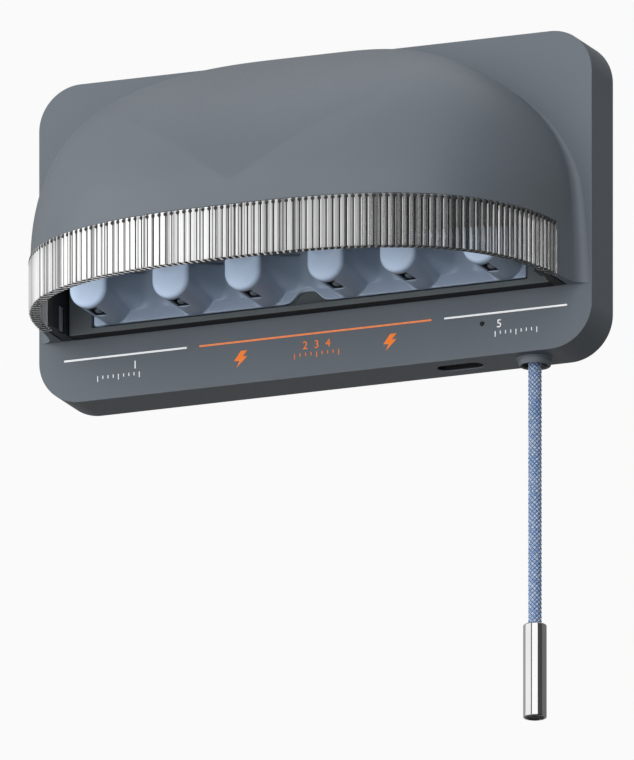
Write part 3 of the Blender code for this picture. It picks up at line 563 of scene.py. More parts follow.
def carve(bm, jobs, bevel=0.0, segments=2, angle=35.0, weighted=True):
    """The mesh of bm after Boolean jobs, each (kind, bm), with its sharp edges rounded."""
    temp = []

    def solid(b, name):
        bmesh.ops.recalc_face_normals(b, faces=b.faces)
        mesh = bpy.data.meshes.new(name)
        b.to_mesh(mesh)
        b.free()
        obj = bpy.data.objects.new(name, mesh)
        scene.collection.objects.link(obj)
        temp.append(obj)
        return obj

    obj = solid(bm, "carve_base")
    for i, (kind, other) in enumerate(jobs):
        mod = obj.modifiers.new(f"job{i}", "BOOLEAN")
        mod.operation, mod.solver, mod.object = kind, "EXACT", solid(other, f"carve_{i}")
    if bevel:
        mod = obj.modifiers.new("edge", "BEVEL")
        mod.width, mod.segments, mod.limit_method = bevel, segments, "ANGLE"
        mod.angle_limit = math.radians(angle)
        mod.miter_outer = "MITER_ARC"
    graph = bpy.context.evaluated_depsgraph_get()
    graph.update()
    mesh = bpy.data.meshes.new_from_object(obj.evaluated_get(graph))
    for o in temp:
        bpy.data.objects.remove(o)
    mesh.transform(Matrix.Scale(MM, 4))
    return mesh


def weigh(obj):
    """Flat faces stay flat beside their small rounded edges."""
    mod = obj.modifiers.new("flat_faces", "WEIGHTED_NORMAL")
    mod.mode, mod.weight, mod.keep_sharp = "FACE_AREA", 80, True
    return obj


# ---------------------------------------------------------------- the cord
# The pull cord hangs straight from the switch. It is seen from the grommet to the handle.
BRAID_N, BRAID_L = 8.0, 1.78


def braid_tube(name, z0, z1, around=72, step=0.22):
    rows = int(abs(z1 - z0) / step)
    zs = np.linspace(z0, z1, rows + 1)
    theta = np.arange(around) / around * 2 * np.pi
    T, Z = np.meshgrid(theta, zs)
    u, v = BRAID_N * T / (2 * np.pi), Z / BRAID_L
    p, q = u + v, u - v
    ip, iq = np.floor(p), np.floor(q)
    fp, fq = p - ip - 0.5, q - iq - 0.5
    over = np.mod(ip + iq, 2) < 0.5
    across, length = np.where(over, fp, fq), np.where(over, fq, fp)
    crown = np.cos(np.pi * across) ** 0.6 * (0.35 + 0.65 * np.cos(np.pi * length) ** 0.8)
    r = CORD_R - 0.34 + 0.52 * crown
    pts = np.stack([CORD_X + r * np.cos(T), CORD_Y + r * np.sin(T), Z], -1).reshape(-1, 3)
    idx = np.arange((rows + 1) * around).reshape(rows + 1, around)
    a, b = idx[:-1], np.roll(idx, -1, 1)[:-1]
    c, d = np.roll(idx, -1, 1)[1:], idx[1:]
    faces = np.stack([a, b, c, d], -1).reshape(-1, 4).tolist()
    faces.append(idx[0][::-1].tolist())
    faces.append(idx[-1].tolist())
    mesh = bpy.data.meshes.new(name)
    mesh.from_pydata((pts * MM).tolist(), [], faces)
    bm = bmesh.new()
    bm.from_mesh(mesh)
    bmesh.ops.recalc_face_normals(bm, faces=bm.faces)
    bm.to_mesh(mesh)
    bm.free()
    layer = mesh.uv_layers.new(name="braid")
    # the seam's last column wraps to the full turn, so that the strand grid runs on
    uv = np.zeros((len(mesh.loops), 2), np.float32)
    for poly in mesh.polygons:
        vs = [mesh.loops[i].vertex_index for i in poly.loop_indices]
        columns = [k % around for k in vs]
        wrap_on = len(vs) == 4 and max(columns) - min(columns) > around // 2
        for i, k, col in zip(poly.loop_indices, vs, columns):
            turn = col + (around if wrap_on and col < around // 2 else 0)
            uv[i] = (BRAID_N * turn / around, zs[k // around] / BRAID_L)
    layer.data.foreach_set("uv", uv.ravel())
    return mesh


cord_mesh = braid_tube("cord_braid", -60.0, HANDLE_TOP + 0.1)
cord = dress("pull_cord_braid", cord_mesh, braid, None, ("pull_cord",), 60, fix=False)
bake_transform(cord)
inner = dress("cord_inner_braid", braid_tube("cord_inner_braid", -38.3, -59.9), braid, "pull", ("cord_inner_end",), 60, fix=False)


# ---------------------------------------------------------------- handle
def make_handle():
    bm = bmesh.new()
    top, low, r = HANDLE_TOP, HANDLE_BOTTOM, HANDLE_R
    profile = []
    for k in range(5):
        a = math.pi / 2 * k / 4
        profile.append((low + 0.35 * (1 - math.sin(a)), r - 0.35 * (1 - math.cos(a))))
    profile = profile[::-1]
    profile += [(low + 3 + k * (top - low - 6) / 6, r) for k in range(7)]
    for k in range(6):
        a = math.pi / 2 * k / 5
        profile.append((top - 0.55 * (1 - math.sin(a)), r - 0.55 * (1 - math.cos(a))))
    profile += [(top, 3.0), (top - 0.35, 2.72), (top - 2.0, 2.7), (top - 2.0, 1.2), (low + 1.4, 1.2), (low + 1.4, r - 0.8), (low + 0.15, r - 0.8), (low, r - 0.65)]
    turned(bm, (CORD_X, CORD_Y, 0), (0, 0, 1), profile, 128, bore=True)
    return from_bm("handle_barrel", bm, chrome, "cord", ("pull_handle",), 38)


handle = make_handle()
bm = bmesh.new()
low = HANDLE_BOTTOM
turned(
    bm,
    (CORD_X, CORD_Y, 0),
    (0, 0, 1),
    [(low + 1.3, 3.62), (low + 0.32, 3.62), (low + 0.16, 3.5), (low + 0.12, 3.3), (low + 0.12, 2.75), (low + 0.3, 2.6), (low + 0.3, 0.75), (low + 0.22, 0.6), (low + 0.22, 0.05)],
    96,
)
cap = from_bm("handle_plug", bm, dark, "cord", ("handle_cap",), 30)


# ---------------------------------------------------------------- hood
def plan_curve(a, b, n, fine=1400):
    t = np.pi * np.arange(fine + 1) / fine
    c, s = np.cos(t), np.sin(t)
    x = -np.sign(c) * np.abs(c) ** (2 / n) * a
    y = np.abs(s) ** (2 / n) * b
    x[np.abs(c) < 1e-12] = 0.0
    y[[0, -1]] = 0.0
    return np.stack([x, y], -1)


def lengths(pts):
    return np.concatenate([[0.0], np.cumsum(np.linalg.norm(np.diff(pts, axis=0), axis=1))])


def along(pts, fractions):
    run = lengths(pts)
    want = np.asarray(fractions) * run[-1]
    return np.stack([np.interp(want, run, pts[:, 0]), np.interp(want, run, pts[:, 1])], -1)


def fraction_at_depth(pts, depth):
    run = lengths(pts)
    half = len(pts) // 2
    return float(np.interp(depth, pts[: half + 1, 1], run[: half + 1]) / run[-1])


LEG, SPAN = 26, 300


def hood_fractions(a, b):
    f = fraction_at_depth(plan_curve(a, b, PLAN_N[0]), LEG_DEPTH)
    left = f * (np.arange(LEG) / LEG) ** 1.5
    middle = f + (1 - 2 * f) * np.arange(SPAN + 1) / SPAN
    return np.concatenate([left, middle, 1 - left[::-1]])


def eased(t, soft):
    """0 below, t above, with a rounded start in place of a corner."""
    ease = lambda v: 0.5 * (v + math.sqrt(v * v + soft * soft))
    return min(1.0, ease(t) / ease(1.0))


def hood_level(z, less, fractions, flare):
    top = HOOD_TOP - less
    h = eased((z - ARCH_Z0) / (top - ARCH_Z0), 0.05)
    d = eased((z - DEPTH_Z0) / (top - DEPTH_Z0), 0.11)
    a = (HOOD_A - less) * max(0.0, 1 - h**ARCH_N) ** (1 / ARCH_N)
    b = (HOOD_B - less) * max(0.0, 1 - d**DEPTH_N) ** (1 / DEPTH_N)
    n = PLAN_N[0] + PLAN_N[1] * d + PLAN_N[2] * d * d
    pts = along(plan_curve(a, b, n), fractions)
    x, depth = pts[:, 0].copy(), pts[:, 1]
    if flare:
        # the foot sweeps out onto the slab, most of all low down on the legs
        r = 3.6 * max(0.0, min(1.0, 1.0 - (z - 2.0) / 46.0)) ** 1.2
        if r > 0.05:
            near = np.clip(1 - depth / r, 0.0, 1.0)
            x += np.sign(x) * r * (1 - np.sqrt(np.maximum(0.0, 1 - near * near)))
        if z < FLARE_TOP:
            near = np.maximum(0.0, 1 - depth / LEG_DEPTH)
            low = (FLARE_TOP - z) / (FLARE_TOP - HOOD_BOTTOM)
            x += np.sign(x) * (FLARE - 1.6) * near**2.2 * low * low * (3 - 2 * low)
    return np.stack([x, FRONT - 0.05 - depth * (1 - 0.05 / HOOD_B), np.full(len(x), z)], -1)


def make_hood():
    levels = 110
    skins, verts = [], []
    count = 0
    for less in (0.0, HOOD_WALL):
        fr = hood_fractions(HOOD_A - less, HOOD_B - less)
        top = HOOD_TOP - less
        zs = list(np.linspace(HOOD_BOTTOM, RIM_Z, 16)) + list(np.linspace(RIM_Z, ARCH_Z0, 12))[1:]
        zs += [ARCH_Z0 + (top - ARCH_Z0) * math.sin(math.pi / 2 * (k / levels)) for k in range(1, levels)]
        rows = []
        for z in zs:
            pts = hood_level(z, less, fr, less == 0)
            verts.append(pts)
            rows.append(np.arange(count, count + len(pts)))
            count += len(pts)
        verts.append(np.array([[0, FRONT - 0.05, top]]))
        skins.append((rows, count))
        count += 1
    n = len(fr)
    legs = [i for i in range(n - 1) if i < LEG or i >= n - 1 - LEG]
    rim = 15
    faces = []
    for (rows, apex), turn in zip(skins, (False, True)):
        for k in range(len(rows) - 1):
            cols = legs if k < rim else range(n - 1)
            for i in cols:
                f = (rows[k][i], rows[k][i + 1], rows[k + 1][i + 1], rows[k + 1][i])
                faces.append(f[::-1] if turn else f)
        for i in range(n - 1):
            f = (rows[-1][i], rows[-1][i + 1], apex)
            faces.append(f[::-1] if turn else f)
    (outer, apex_o), (inner_rows, apex_i) = skins
    for i in legs:
        faces.append((outer[0][i], inner_rows[0][i], inner_rows[0][i + 1], outer[0][i + 1]))
    for i in range(LEG, n - 1 - LEG):
        faces.append((outer[rim][i], inner_rows[rim][i], inner_rows[rim][i + 1], outer[rim][i + 1]))
    for i in (LEG, n - 1 - LEG):
        for k in range(rim):
            faces.append((outer[k][i], outer[k + 1][i], inner_rows[k + 1][i], inner_rows[k][i]))
    for i in (0, n - 1):
        for k in range(len(outer) - 1):
            faces.append((outer[k][i], inner_rows[k][i], inner_rows[k + 1][i], outer[k + 1][i]))
        faces.append((outer[-1][i], inner_rows[-1][i], apex_i, apex_o))
    pts = np.concatenate(verts)
    used = np.zeros(len(pts), bool)
    for f in faces:
        used[list(f)] = True
    new = np.cumsum(used) - 1
    faces = [tuple(int(new[i]) for i in f) for f in faces]
    return piece("hood_cover", pts[used], faces, shell, "unit", ("hood_shell",), 40)


hood = make_hood()


# ---------------------------------------------------------------- fluted ring
FLUTES, FLUTE_H = 110, 0.95


def ring_line(less, extra=0.35):
    pts = plan_curve(HOOD_A - less, HOOD_B - less, PLAN_N[0], 4000)
    f = fraction_at_depth(pts, LEG_DEPTH + extra)
    return pts, f


def make_ring():
    per = 12
    count = FLUTES * per
    pts, f = ring_line(0.0)
    fr = f + (1 - 2 * f) * np.arange(count + 1) / count
    line = along(pts, fr)
    tangent = np.gradient(line, axis=0)
    tangent /= np.linalg.norm(tangent, axis=1)[:, None]
    normal = np.stack([-tangent[:, 1], tangent[:, 0]], -1)  # outwards
    if normal[count // 2, 1] < 0:
        normal = -normal
    pitch = lengths(pts)[-1] * (1 - 2 * f) / FLUTES
    t = (np.arange(count + 1) % per) / per - 0.5
    t = t * pitch
    R = (FLUTE_H**2 + (pitch / 2) ** 2) / (2 * FLUTE_H)
    bulge = np.sqrt(np.maximum(0.0, R * R - t * t)) - (R - FLUTE_H)
    base = 0.36 - FLUTE_H
    ipts, fi = ring_line(RING_WALL)
    inner_line = along(ipts, fi + (1 - 2 * fi) * np.arange(count + 1) / count)
    loops = []
    edge = 0.28
    for z, cut in (
        (HOOD_BOTTOM, edge), (HOOD_BOTTOM + edge * 0.3, edge * 0.3), (HOOD_BOTTOM + edge, 0.0),
        (-34.0, 0.0), (-28.0, 0.0), (-22.0, 0.0),
        (RING_TOP - edge, 0.0), (RING_TOP - edge * 0.3, edge * 0.3), (RING_TOP, edge),
    ):
        out = line + normal * (base + np.maximum(0.0, bulge - cut))[:, None]
        ring = np.concatenate([out, inner_line[::-1]])
        loops.append(np.stack([ring[:, 0], FRONT - ring[:, 1], np.full(len(ring), z)], -1))
    n = len(loops[0])
    verts = np.concatenate(loops)
    faces = []
    for k in range(len(loops) - 1):
        for i in range(n):
            j = (i + 1) % n
            faces.append((k * n + i, k * n + j, (k + 1) * n + j, (k + 1) * n + i))
    # the flat top and bottom are strips between the outer and the inner line
    for k in (0, len(loops) - 1):
        for i in range(count):
            a, b = k * n + i, k * n + i + 1
            faces.append((a, b, k * n + n - 2 - i, k * n + n - 1 - i))
    obj = piece("ring_flutes", verts, faces, clear, "unit", ("fluted_ring",), 30)
    # painted shade and painted highlight: the faces beside each valley and most of the lower edge are painted dark as
    # shade, and one flank face of each flute is painted whiter as a highlight
    obj.data.materials.append(acrylic_painted_shade)
    obj.data.materials.append(acrylic_painted_highlight)
    walls = (len(loops) - 1) * n
    for poly in obj.data.polygons:
        if poly.index < walls:
            i = poly.index % n
            if i < count and i % per in (0, per - 1):
                poly.material_index = 1
            elif i < count and i % per == 2:
                poly.material_index = 2
        elif poly.index < walls + count and (poly.index - walls) % per not in (4, 5, 6, 7):
            poly.material_index = 1
    return obj, line, normal, pitch


ring, ring_pts, ring_normals, ring_pitch = make_ring()


def make_beads():
    """Dark rounded beads between hood and ring, one in each valley between flutes."""
    per = 12
    bm = bmesh.new()
    for k in range(1, FLUTES):
        i = k * per
        c, nrm = ring_pts[i], ring_normals[i]
        tan = np.array([nrm[1], -nrm[0]])
        loops = []
        for depth, size in ((-0.9, 0.84), (0.1, 0.84), (0.34, 0.74), (0.44, 0.46), (0.47, 0.08)):
            loop = []
            for s in range(12):
                a = 2 * math.pi * s / 12
                off = c + tan * (size * math.cos(a)) + nrm * depth
                loop.append((off[0], FRONT - off[1], RING_TOP - 0.85 + 0.85 * size * math.sin(a)))
            loops.append(loop)
        loft(bm, loops)
    return from_bm("ring_valley_beads", bm, dark, "unit", (), 40)


beads = make_beads()

# ---------------------------------------------------------------- brackets at the ring's ends
for side, word in ((-1, "left"), (1, "right")):
    bm = bmesh.new()
    plan = [(98.4, -21.7), (102.5, -21.7), (102.1, -35.6), (101.0, -36.6), (100.3, -43.2), (98.4, -43.2)]
    loft(bm, [[(side * x, y, z) for x, y in plan] for z in (HOOD_BOTTOM, -14.0)])
    cut = bmesh.new()
    box(cut, side * 98.0, side * 99.3, -36.5, -31.2, -39.0, -27.5)
    mesh = carve(bm, [("DIFFERENCE", cut)], 0.18)
    weigh(dress("ring_end_bracket_" + word, mesh, dark, "unit", ("ring_bracket_" + word,), 50))
    bm = bmesh.new()
    box(bm, side * 98.7, side * 99.35, -36.0, -32.4, -37.4, -28.0)
    mesh = carve(bm, [], 0.05)
    dress("bracket_inlay_" + word, mesh, slot_grey, "unit", (), 50)


# ---------------------------------------------------------------- housing
def make_housing():
    half_w, half_h = WIDTH / 2, HEIGHT / 2
    steps = 26
    outer = lambda inset: rounded(half_w - inset, half_h - inset, CORNER_R - inset, steps)
    bm = bmesh.new()
    slab(bm, outer(0), BACK, FRONT, 0.12, 0.28, outer, 4)
    jobs = []
    cavity = bmesh.new()
    slab(cavity, outer(WALL), 0.5, FRONT + WALL)
    jobs.append(("DIFFERENCE", cavity))
    bosses = bmesh.new()
    for x, z in COVER_SCREWS:
        rod(bosses, (x, -5.6, z), (x, FRONT + WALL - 0.4, z), 3.5, 24)
    for x, z in BOARD_SCREWS:
        rod(bosses, (x, -14.4, z), (x, FRONT + WALL - 0.4, z), 2.6, 24)
    jobs.append(("UNION", bosses))
    holes = bmesh.new()
    for x, z in COVER_SCREWS:
        rod(holes, (x, -5.0, z), (x, -17.0, z), 1.4, 16)
    for x, z in BOARD_SCREWS:
        rod(holes, (x, -14.0, z), (x, -18.6, z), 1.2, 16)
    for x, z in HOOD_SCREWS + FRAME_SCREWS:
        rod(holes, (x, -18.8, z), (x, -22.0, z), 1.7, 16)
    rod(holes, (PIPE_X, -18.8, PIPE_Z), (PIPE_X, -21.9, PIPE_Z), 0.95, 32)
    rod(holes, (CORD_X, CORD_Y, -59.8), (CORD_X, CORD_Y, -63.0), 5.8, 48)
    stadium(holes, USB_X, USB_Y, [(-63.2, 10.3, 4.85), (-62.35, 9.45, 4.0), (-62.1, 9.25, 3.8), (-59.8, 9.25, 3.8)], 20)
    slab(holes, rounded(50.0, 5.0, 2.0, 6, cz=LAMP_Z), -18.8, -22.0)
    jobs.append(("DIFFERENCE", holes))
    mesh = carve(bm, jobs)
    return weigh(dress("housing_body", mesh, shell, "unit", ("front_housing",), 40))


housing = make_housing()

# black collar that lines the charging recess
bm = bmesh.new()
stadium(bm, USB_X, USB_Y, [(-62.0, 9.3, 3.85), (-59.9, 9.3, 3.85), (-59.9, 10.2, 4.6), (-59.3, 10.2, 4.6)], 20)
bore = bmesh.new()
stadium(bore, USB_X, USB_Y, [(-62.6, 9.0, 3.55), (-58.9, 8.8, 3.35)], 20)
dress("charging_recess_collar", carve(bm, [("DIFFERENCE", bore)]), dark, "unit", (), 35)


# ---------------------------------------------------------------- tray frame
def make_frame():
    bm = bmesh.new()
    box(bm, -FRAME_HALF, FRAME_HALF, -21.45, FRAME_FRONT, HOOD_BOTTOM, FRAME_TOP)
    cut = bmesh.new()
    box(cut, -TRAY_HALF - 0.8, TRAY_HALF + 0.8, POCKET_FLOOR, -28.5, TRAY_BOTTOM - 0.8, -13.5)
    for x, z in FRAME_SCREWS:
        rod(cut, (x, -21.0, z), (x, -26.2, z), 1.3, 16)
    mesh = carve(bm, [("DIFFERENCE", cut)], 0.22, 3)
    obj = dress("tray_surround", mesh, frame_grey, "unit", ("tray_frame",), 50)
    # the faces of its underside are black
    mesh.materials.append(black_underside)
    for poly in mesh.polygons:
        if poly.normal.z < -0.7 and poly.center.z < (HOOD_BOTTOM + 0.4) * MM:
            poly.material_index = 1
    return weigh(obj)


make_frame()


# ---------------------------------------------------------------- holder tray
def surface_net(f, low, high, h):
    """A quad mesh of f = 0 over a box, each vertex then moved onto the surface."""
    axes = [np.arange(a, b + h, h) for a, b in zip(low, high)]
    X, Y, Z = np.meshgrid(*axes, indexing="ij")
    V = f(X, Y, Z)
    inside = V < 0
    n = np.array(V.shape) - 1
    corner = [(i, j, k) for i in (0, 1) for j in (0, 1) for k in (0, 1)]
    cut = lambda A, c: A[c[0] : c[0] + n[0], c[1] : c[1] + n[1], c[2] : c[2] + n[2]]
    total = sum(cut(inside, c).astype(np.int8) for c in corner)
    mixed = (total > 0) & (total < 8)
    cells = np.argwhere(mixed)
    index = np.full(mixed.shape, -1, np.int64)
    index[mixed] = np.arange(len(cells))
    acc, num = np.zeros((len(cells), 3)), np.zeros(len(cells))
    base = np.array([a[0] for a in axes])
    for a in corner:
        for d in range(3):
            if a[d]:
                continue
            b = tuple(a[m] + (m == d) for m in range(3))
            va, vb = cut(V, a)[mixed], cut(V, b)[mixed]
            cross = (va < 0) != (vb < 0)
            t = np.where(cross, va / np.where(va - vb == 0, 1, va - vb), 0)
            at = cells + np.array(a)
            at = at.astype(float)
            at[:, d] += t
            acc += at * cross[:, None]
            num += cross
    pts = acc / num[:, None] * h + base
    faces = []
    for d in range(3):
        e = [0, 0, 0]
        e[d] = 1
        sl = [slice(0, V.shape[m] - e[m]) for m in range(3)]
        sh = [slice(e[m], None) for m in range(3)]
        a, b = inside[tuple(sl)], inside[tuple(sh)]
        for flip, where in ((False, a & ~b), (True, ~a & b)):
            at = np.argwhere(where)
            u, w = [(1, 2), (2, 0), (0, 1)][d]
            ok = (at[:, u] > 0) & (at[:, w] > 0) & (at[:, u] < V.shape[u] - 1) & (at[:, w] < V.shape[w] - 1)
            at = at[ok]
            quad = []
            for du, dw in ((0, 0), (-1, 0), (-1, -1), (0, -1)):
                c = at.copy()
                c[:, u] += du
                c[:, w] += dw
                quad.append(index[c[:, 0], c[:, 1], c[:, 2]])
            quad = np.stack(quad, -1)
            quad = quad[(quad >= 0).all(1)]
            faces.append(quad[:, ::-1] if flip else quad)
    faces = np.concatenate(faces)
    eps = 0.03
    for _ in range(3):
        v = f(pts[:, 0], pts[:, 1], pts[:, 2])
        g = np.stack(
            [
                f(pts[:, 0] + eps * (m == 0), pts[:, 1] + eps * (m == 1), pts[:, 2] + eps * (m == 2))
                - f(pts[:, 0] - eps * (m == 0), pts[:, 1] - eps * (m == 1), pts[:, 2] - eps * (m == 2))
                for m in range(3)
            ],
            -1,
        ) / (2 * eps)
        size = np.maximum((g * g).sum(1), 0.05)
        step = -(v / size)[:, None] * g
        far = np.linalg.norm(step, axis=1)
        step *= np.minimum(1.0, 0.6 * h / np.maximum(far, 1e-9))[:, None]
        pts = pts + step
    return pts, faces


def smin(a, b, k):
    h = np.maximum(k - np.abs(a - b), 0.0) / k
    return np.minimum(a, b) - h * h * k * 0.25


def smax(a, b, k):
    return -smin(-a, -b, k)


PEGS = np.array(PEG_X)
MIDS = (PEGS[1:] + PEGS[:-1]) / 2


def tray_field(x, y, z):
    near = np.abs(x[..., None] - PEGS).argmin(-1)
    px = PEGS[near]
    dx = np.abs(x - px)
    # the peg's section, a round-bottomed column
    lower = np.sqrt(dx * dx + (z - PEG_AXIS_Z) ** 2) - PEG_R - 0.12
    c = 2.2
    qx, qz = dx - (PEG_R + 0.12 - c), z - (PEG_TOP - c)
    upper = np.sqrt(np.maximum(qx, 0) ** 2 + np.maximum(qz, 0) ** 2) + np.minimum(np.maximum(qx, qz), 0) - c
    section = np.where(z < PEG_AXIS_Z, lower, upper)
    # its pillow-shaped tip
    crown = 1.3 * (1 - np.clip(1 + section / 6.6, 0, 1) ** 2.2)
    tip = (PEG_TIP - 0.5 + 1.3 - crown) - y
    r = 1.25
    a, b = section + r, tip + r
    peg = np.sqrt(np.maximum(a, 0) ** 2 + np.maximum(b, 0) ** 2) + np.minimum(np.maximum(a, b), 0) - r
    peg = np.maximum(peg, y + 25.2)
    # the back panel
    top = TRAY_TOP + 1.6
    w, hgt, c = TRAY_HALF, (top - TRAY_BOTTOM) / 2, 0.8
    qx = np.abs(x) - (w - c)
    qz = np.abs(z - (top + TRAY_BOTTOM) / 2) - (hgt - c)
    outline = np.sqrt(np.maximum(qx, 0) ** 2 + np.maximum(qz, 0) ** 2) + np.minimum(np.maximum(qx, qz), 0) - c
    # finger notch in the lower edge
    t = np.clip((x - NOTCH_X) / NOTCH_HALF, -1, 1)
    rise = NOTCH_HEIGHT * (0.5 + 0.5 * np.cos(np.pi * t))
    notch = (TRAY_BOTTOM + rise - z) * 0.75
    outline = np.where(np.abs(x - NOTCH_X) < NOTCH_HALF, smax(outline, notch, 0.6), outline)
    thick = np.abs(y - (TRAY_FRONT + TRAY_BACK) / 2) - (TRAY_BACK - TRAY_FRONT) / 2
    e = 0.45
    a, b = outline + e, thick + e
    panel = np.sqrt(np.maximum(a, 0) ** 2 + np.maximum(b, 0) ** 2) + np.minimum(np.maximum(a, b), 0) - e
    # its top edge is cut away behind, so that it clears the frame as the tray tilts
    panel = np.maximum(panel, (y - TRAY_BACK + 0.55 * np.maximum(z - TRAY_TOP + 0.2, 0)) * 0.87)
    # scoops: between two pegs the wall sweeps forward into their sides, like a
    # half-round channel for a brush's neck, above a crease low on each peg
    beyond = np.where(x < px, near == 0, near == 5)
    gap_mid = np.where(x < px, MIDS[np.maximum(near - 1, 0)], MIDS[np.minimum(near, 4)])
    half = np.where(beyond, 99.0, np.abs(gap_mid - px)) - PEG_R * 0.97
    s = np.clip(1 - (dx - PEG_R * 0.97) / half, 0, 1)  # 0 in mid gap, 1 at the peg's side
    bow = np.sqrt(np.maximum(1 - s * s, 0.0009))
    sweep = 1 - bow
    up = np.clip((z + 29.9) / 6.4, 0, 1)
    reach = 27.0 * (1 - (1 - up) ** 2.6) ** (1 / 1.35)
    reach = np.where(beyond, 0.0, reach)
    face = TRAY_FRONT + 1.0 - (reach + 1.0 * (reach > 0)) * sweep
    du = np.where((up > 0) & (up < 1), 27.0 * 1.9 * (1 - up) ** 1.6 / 6.4, 0.0) * sweep
    dv = reach * s / bow / half
    web = (face - y) / np.sqrt(1 + du * du + dv * dv)
    web = np.maximum(web, y + 25.2)
    web = np.maximum(web, (PEG_TIP + 2.6) - y)
    web = smax(web, (z - PEG_TOP - 0.2 * (y + 51.0)) * 0.98, 1.0)
    web = np.maximum(web, -30.4 - z)
    web = np.where(beyond, 9.0, web)
    body = smin(panel, web, 1.2)
    body = smin(body, peg, 0.5)
    # slot in each peg's underside
    slot = np.maximum(np.maximum(dx - 2.3, np.abs(y + 44.2) - 5.4), z + 32.3)
    return smax(body, -slot, 0.3)


tray_points, tray_faces = surface_net(tray_field, (-90.0, -55.6, -36.2), (90.0, -23.6, -14.6), 0.42)
tray_mesh = bpy.data.meshes.new("tray")
tray_mesh.from_pydata((tray_points * MM).tolist(), [], tray_faces.tolist())
tray = dress("tray_with_pegs", tray_mesh, tray_blue, "tray", ("holder_tray",), 48)

for i, px in enumerate(PEG_X):
    # a dark liner in the slot, with a small domed lens at its inner end
    bm = bmesh.new()
    box(bm, px - 2.26, px + 2.26, -49.55, -38.85, -32.36, -32.9)
    jobs = []
    for x0, x1, y0, y1 in ((-2.28, -2.0, -49.55, -38.85), (2.0, 2.28, -49.55, -38.85), (-2.2, 2.2, -49.58, -49.25), (-2.2, 2.2, -39.15, -38.82)):
        wall = bmesh.new()
        box(wall, px + x0, px + x1, y0, y1, -32.4, -34.0 if x1 - x0 < 1 else -34.5)
        jobs.append(("UNION", wall))
    dress(f"peg_slot_liner_{i + 1}", carve(bm, jobs), liner_dark, "tray", (), 30)
    bm = bmesh.new()
    turned(
        bm,
        (px, PEG_LENS_Y, -32.6),
        (0, 0, -1),
        [(0.0, 1.85), (0.6, 1.85), (0.95, 1.72), (1.25, 1.44), (1.48, 1.02), (1.6, 0.5), (1.63, 0.05)],
        36,
    )
    from_bm(f"peg_sensor_lens_{i + 1}", bm, lens_glass, "tray", (f"peg_lens_{i + 1}",), 40)


# ---------------------------------------------------------------- cord grommet
def make_grommet():
    bm = bmesh.new()
    z = MOUTH_Z
    profile = [(-60.1, 3.6), (-60.1, 5.4), (-62.4, 5.4), (-62.4, 7.2), (-62.55, 6.75), (-62.9, 6.45)]
    for k in range(1, 9):
        t = k / 8
        profile.append((-62.9 + (z + 0.35 + 62.9) * t, 6.45 - 0.45 * t**2.2))
    for k in range(1, 7):
        a = math.pi * k / 7
        profile.append((z + 0.35 - 0.35 * math.sin(a), 5.62 + 0.38 * math.cos(a)))
    profile += [(z + 0.5, 5.2), (-63.2, 4.7), (-62.2, 3.9), (-61.2, 3.6)]
    turned(bm, (CORD_X, CORD_Y, 0), (0, 0, 1), profile, 96, bore=True)
    from_bm("cord_outlet", bm, shell, "unit", ("cord_grommet",), 35)
    bm = bmesh.new()
    turned(
        bm,
        (CORD_X, CORD_Y, 0),
        (0, 0, 1),
        [(-60.4, 3.55), (-60.4, 3.15), (-61.4, 3.1), (-63.2, 4.15), (-65.0, 4.75), (-65.0, 5.1), (-63.25, 4.65), (-61.3, 3.55)],
        72,
        bore=True,
    )
    from_bm("outlet_liner", bm, dark, "unit", (), 35)


make_grommet()


# ---------------------------------------------------------------- prints on the front
INK_Y = FRONT - 0.05


def bar(bm, x0, x1, z, thick):
    h = thick / 2
    pts = []
    for side, x in ((1, x1 - h), (-1, x0 + h)):
        for k in range(9):
            a = math.radians(-90 + 180 * k / 8) if side > 0 else math.radians(90 + 180 * k / 8)
            pts.append((x + h * math.cos(a), z + h * math.sin(a)))
    loft(bm, [[(x, y, zz) for x, zz in pts] for y in (INK_Y, INK_Y + 0.12)])


def glyphs(text, height, x, z, align):
    """Plain numerals in the program's own font, as a flat mesh."""
    data = bpy.data.curves.new("numerals", "FONT")
    data.body, data.size, data.align_x = text, height / 0.7 * MM, align
    data.extrude = 0.00006
    data.resolution_u = 6
    obj = bpy.data.objects.new("numerals", data)
    scene.collection.objects.link(obj)
    obj.matrix_world = Matrix.Translation(Vector((x, INK_Y + 0.05, z)) * MM) @ Matrix.Rotation(math.radians(90), 4, "X")
    bpy.context.view_layer.update()
    graph = bpy.context.evaluated_depsgraph_get()
    mesh = bpy.data.meshes.new_from_object(obj.evaluated_get(graph))
    mesh.transform(obj.matrix_world)
    bpy.data.objects.remove(obj)
    return mesh


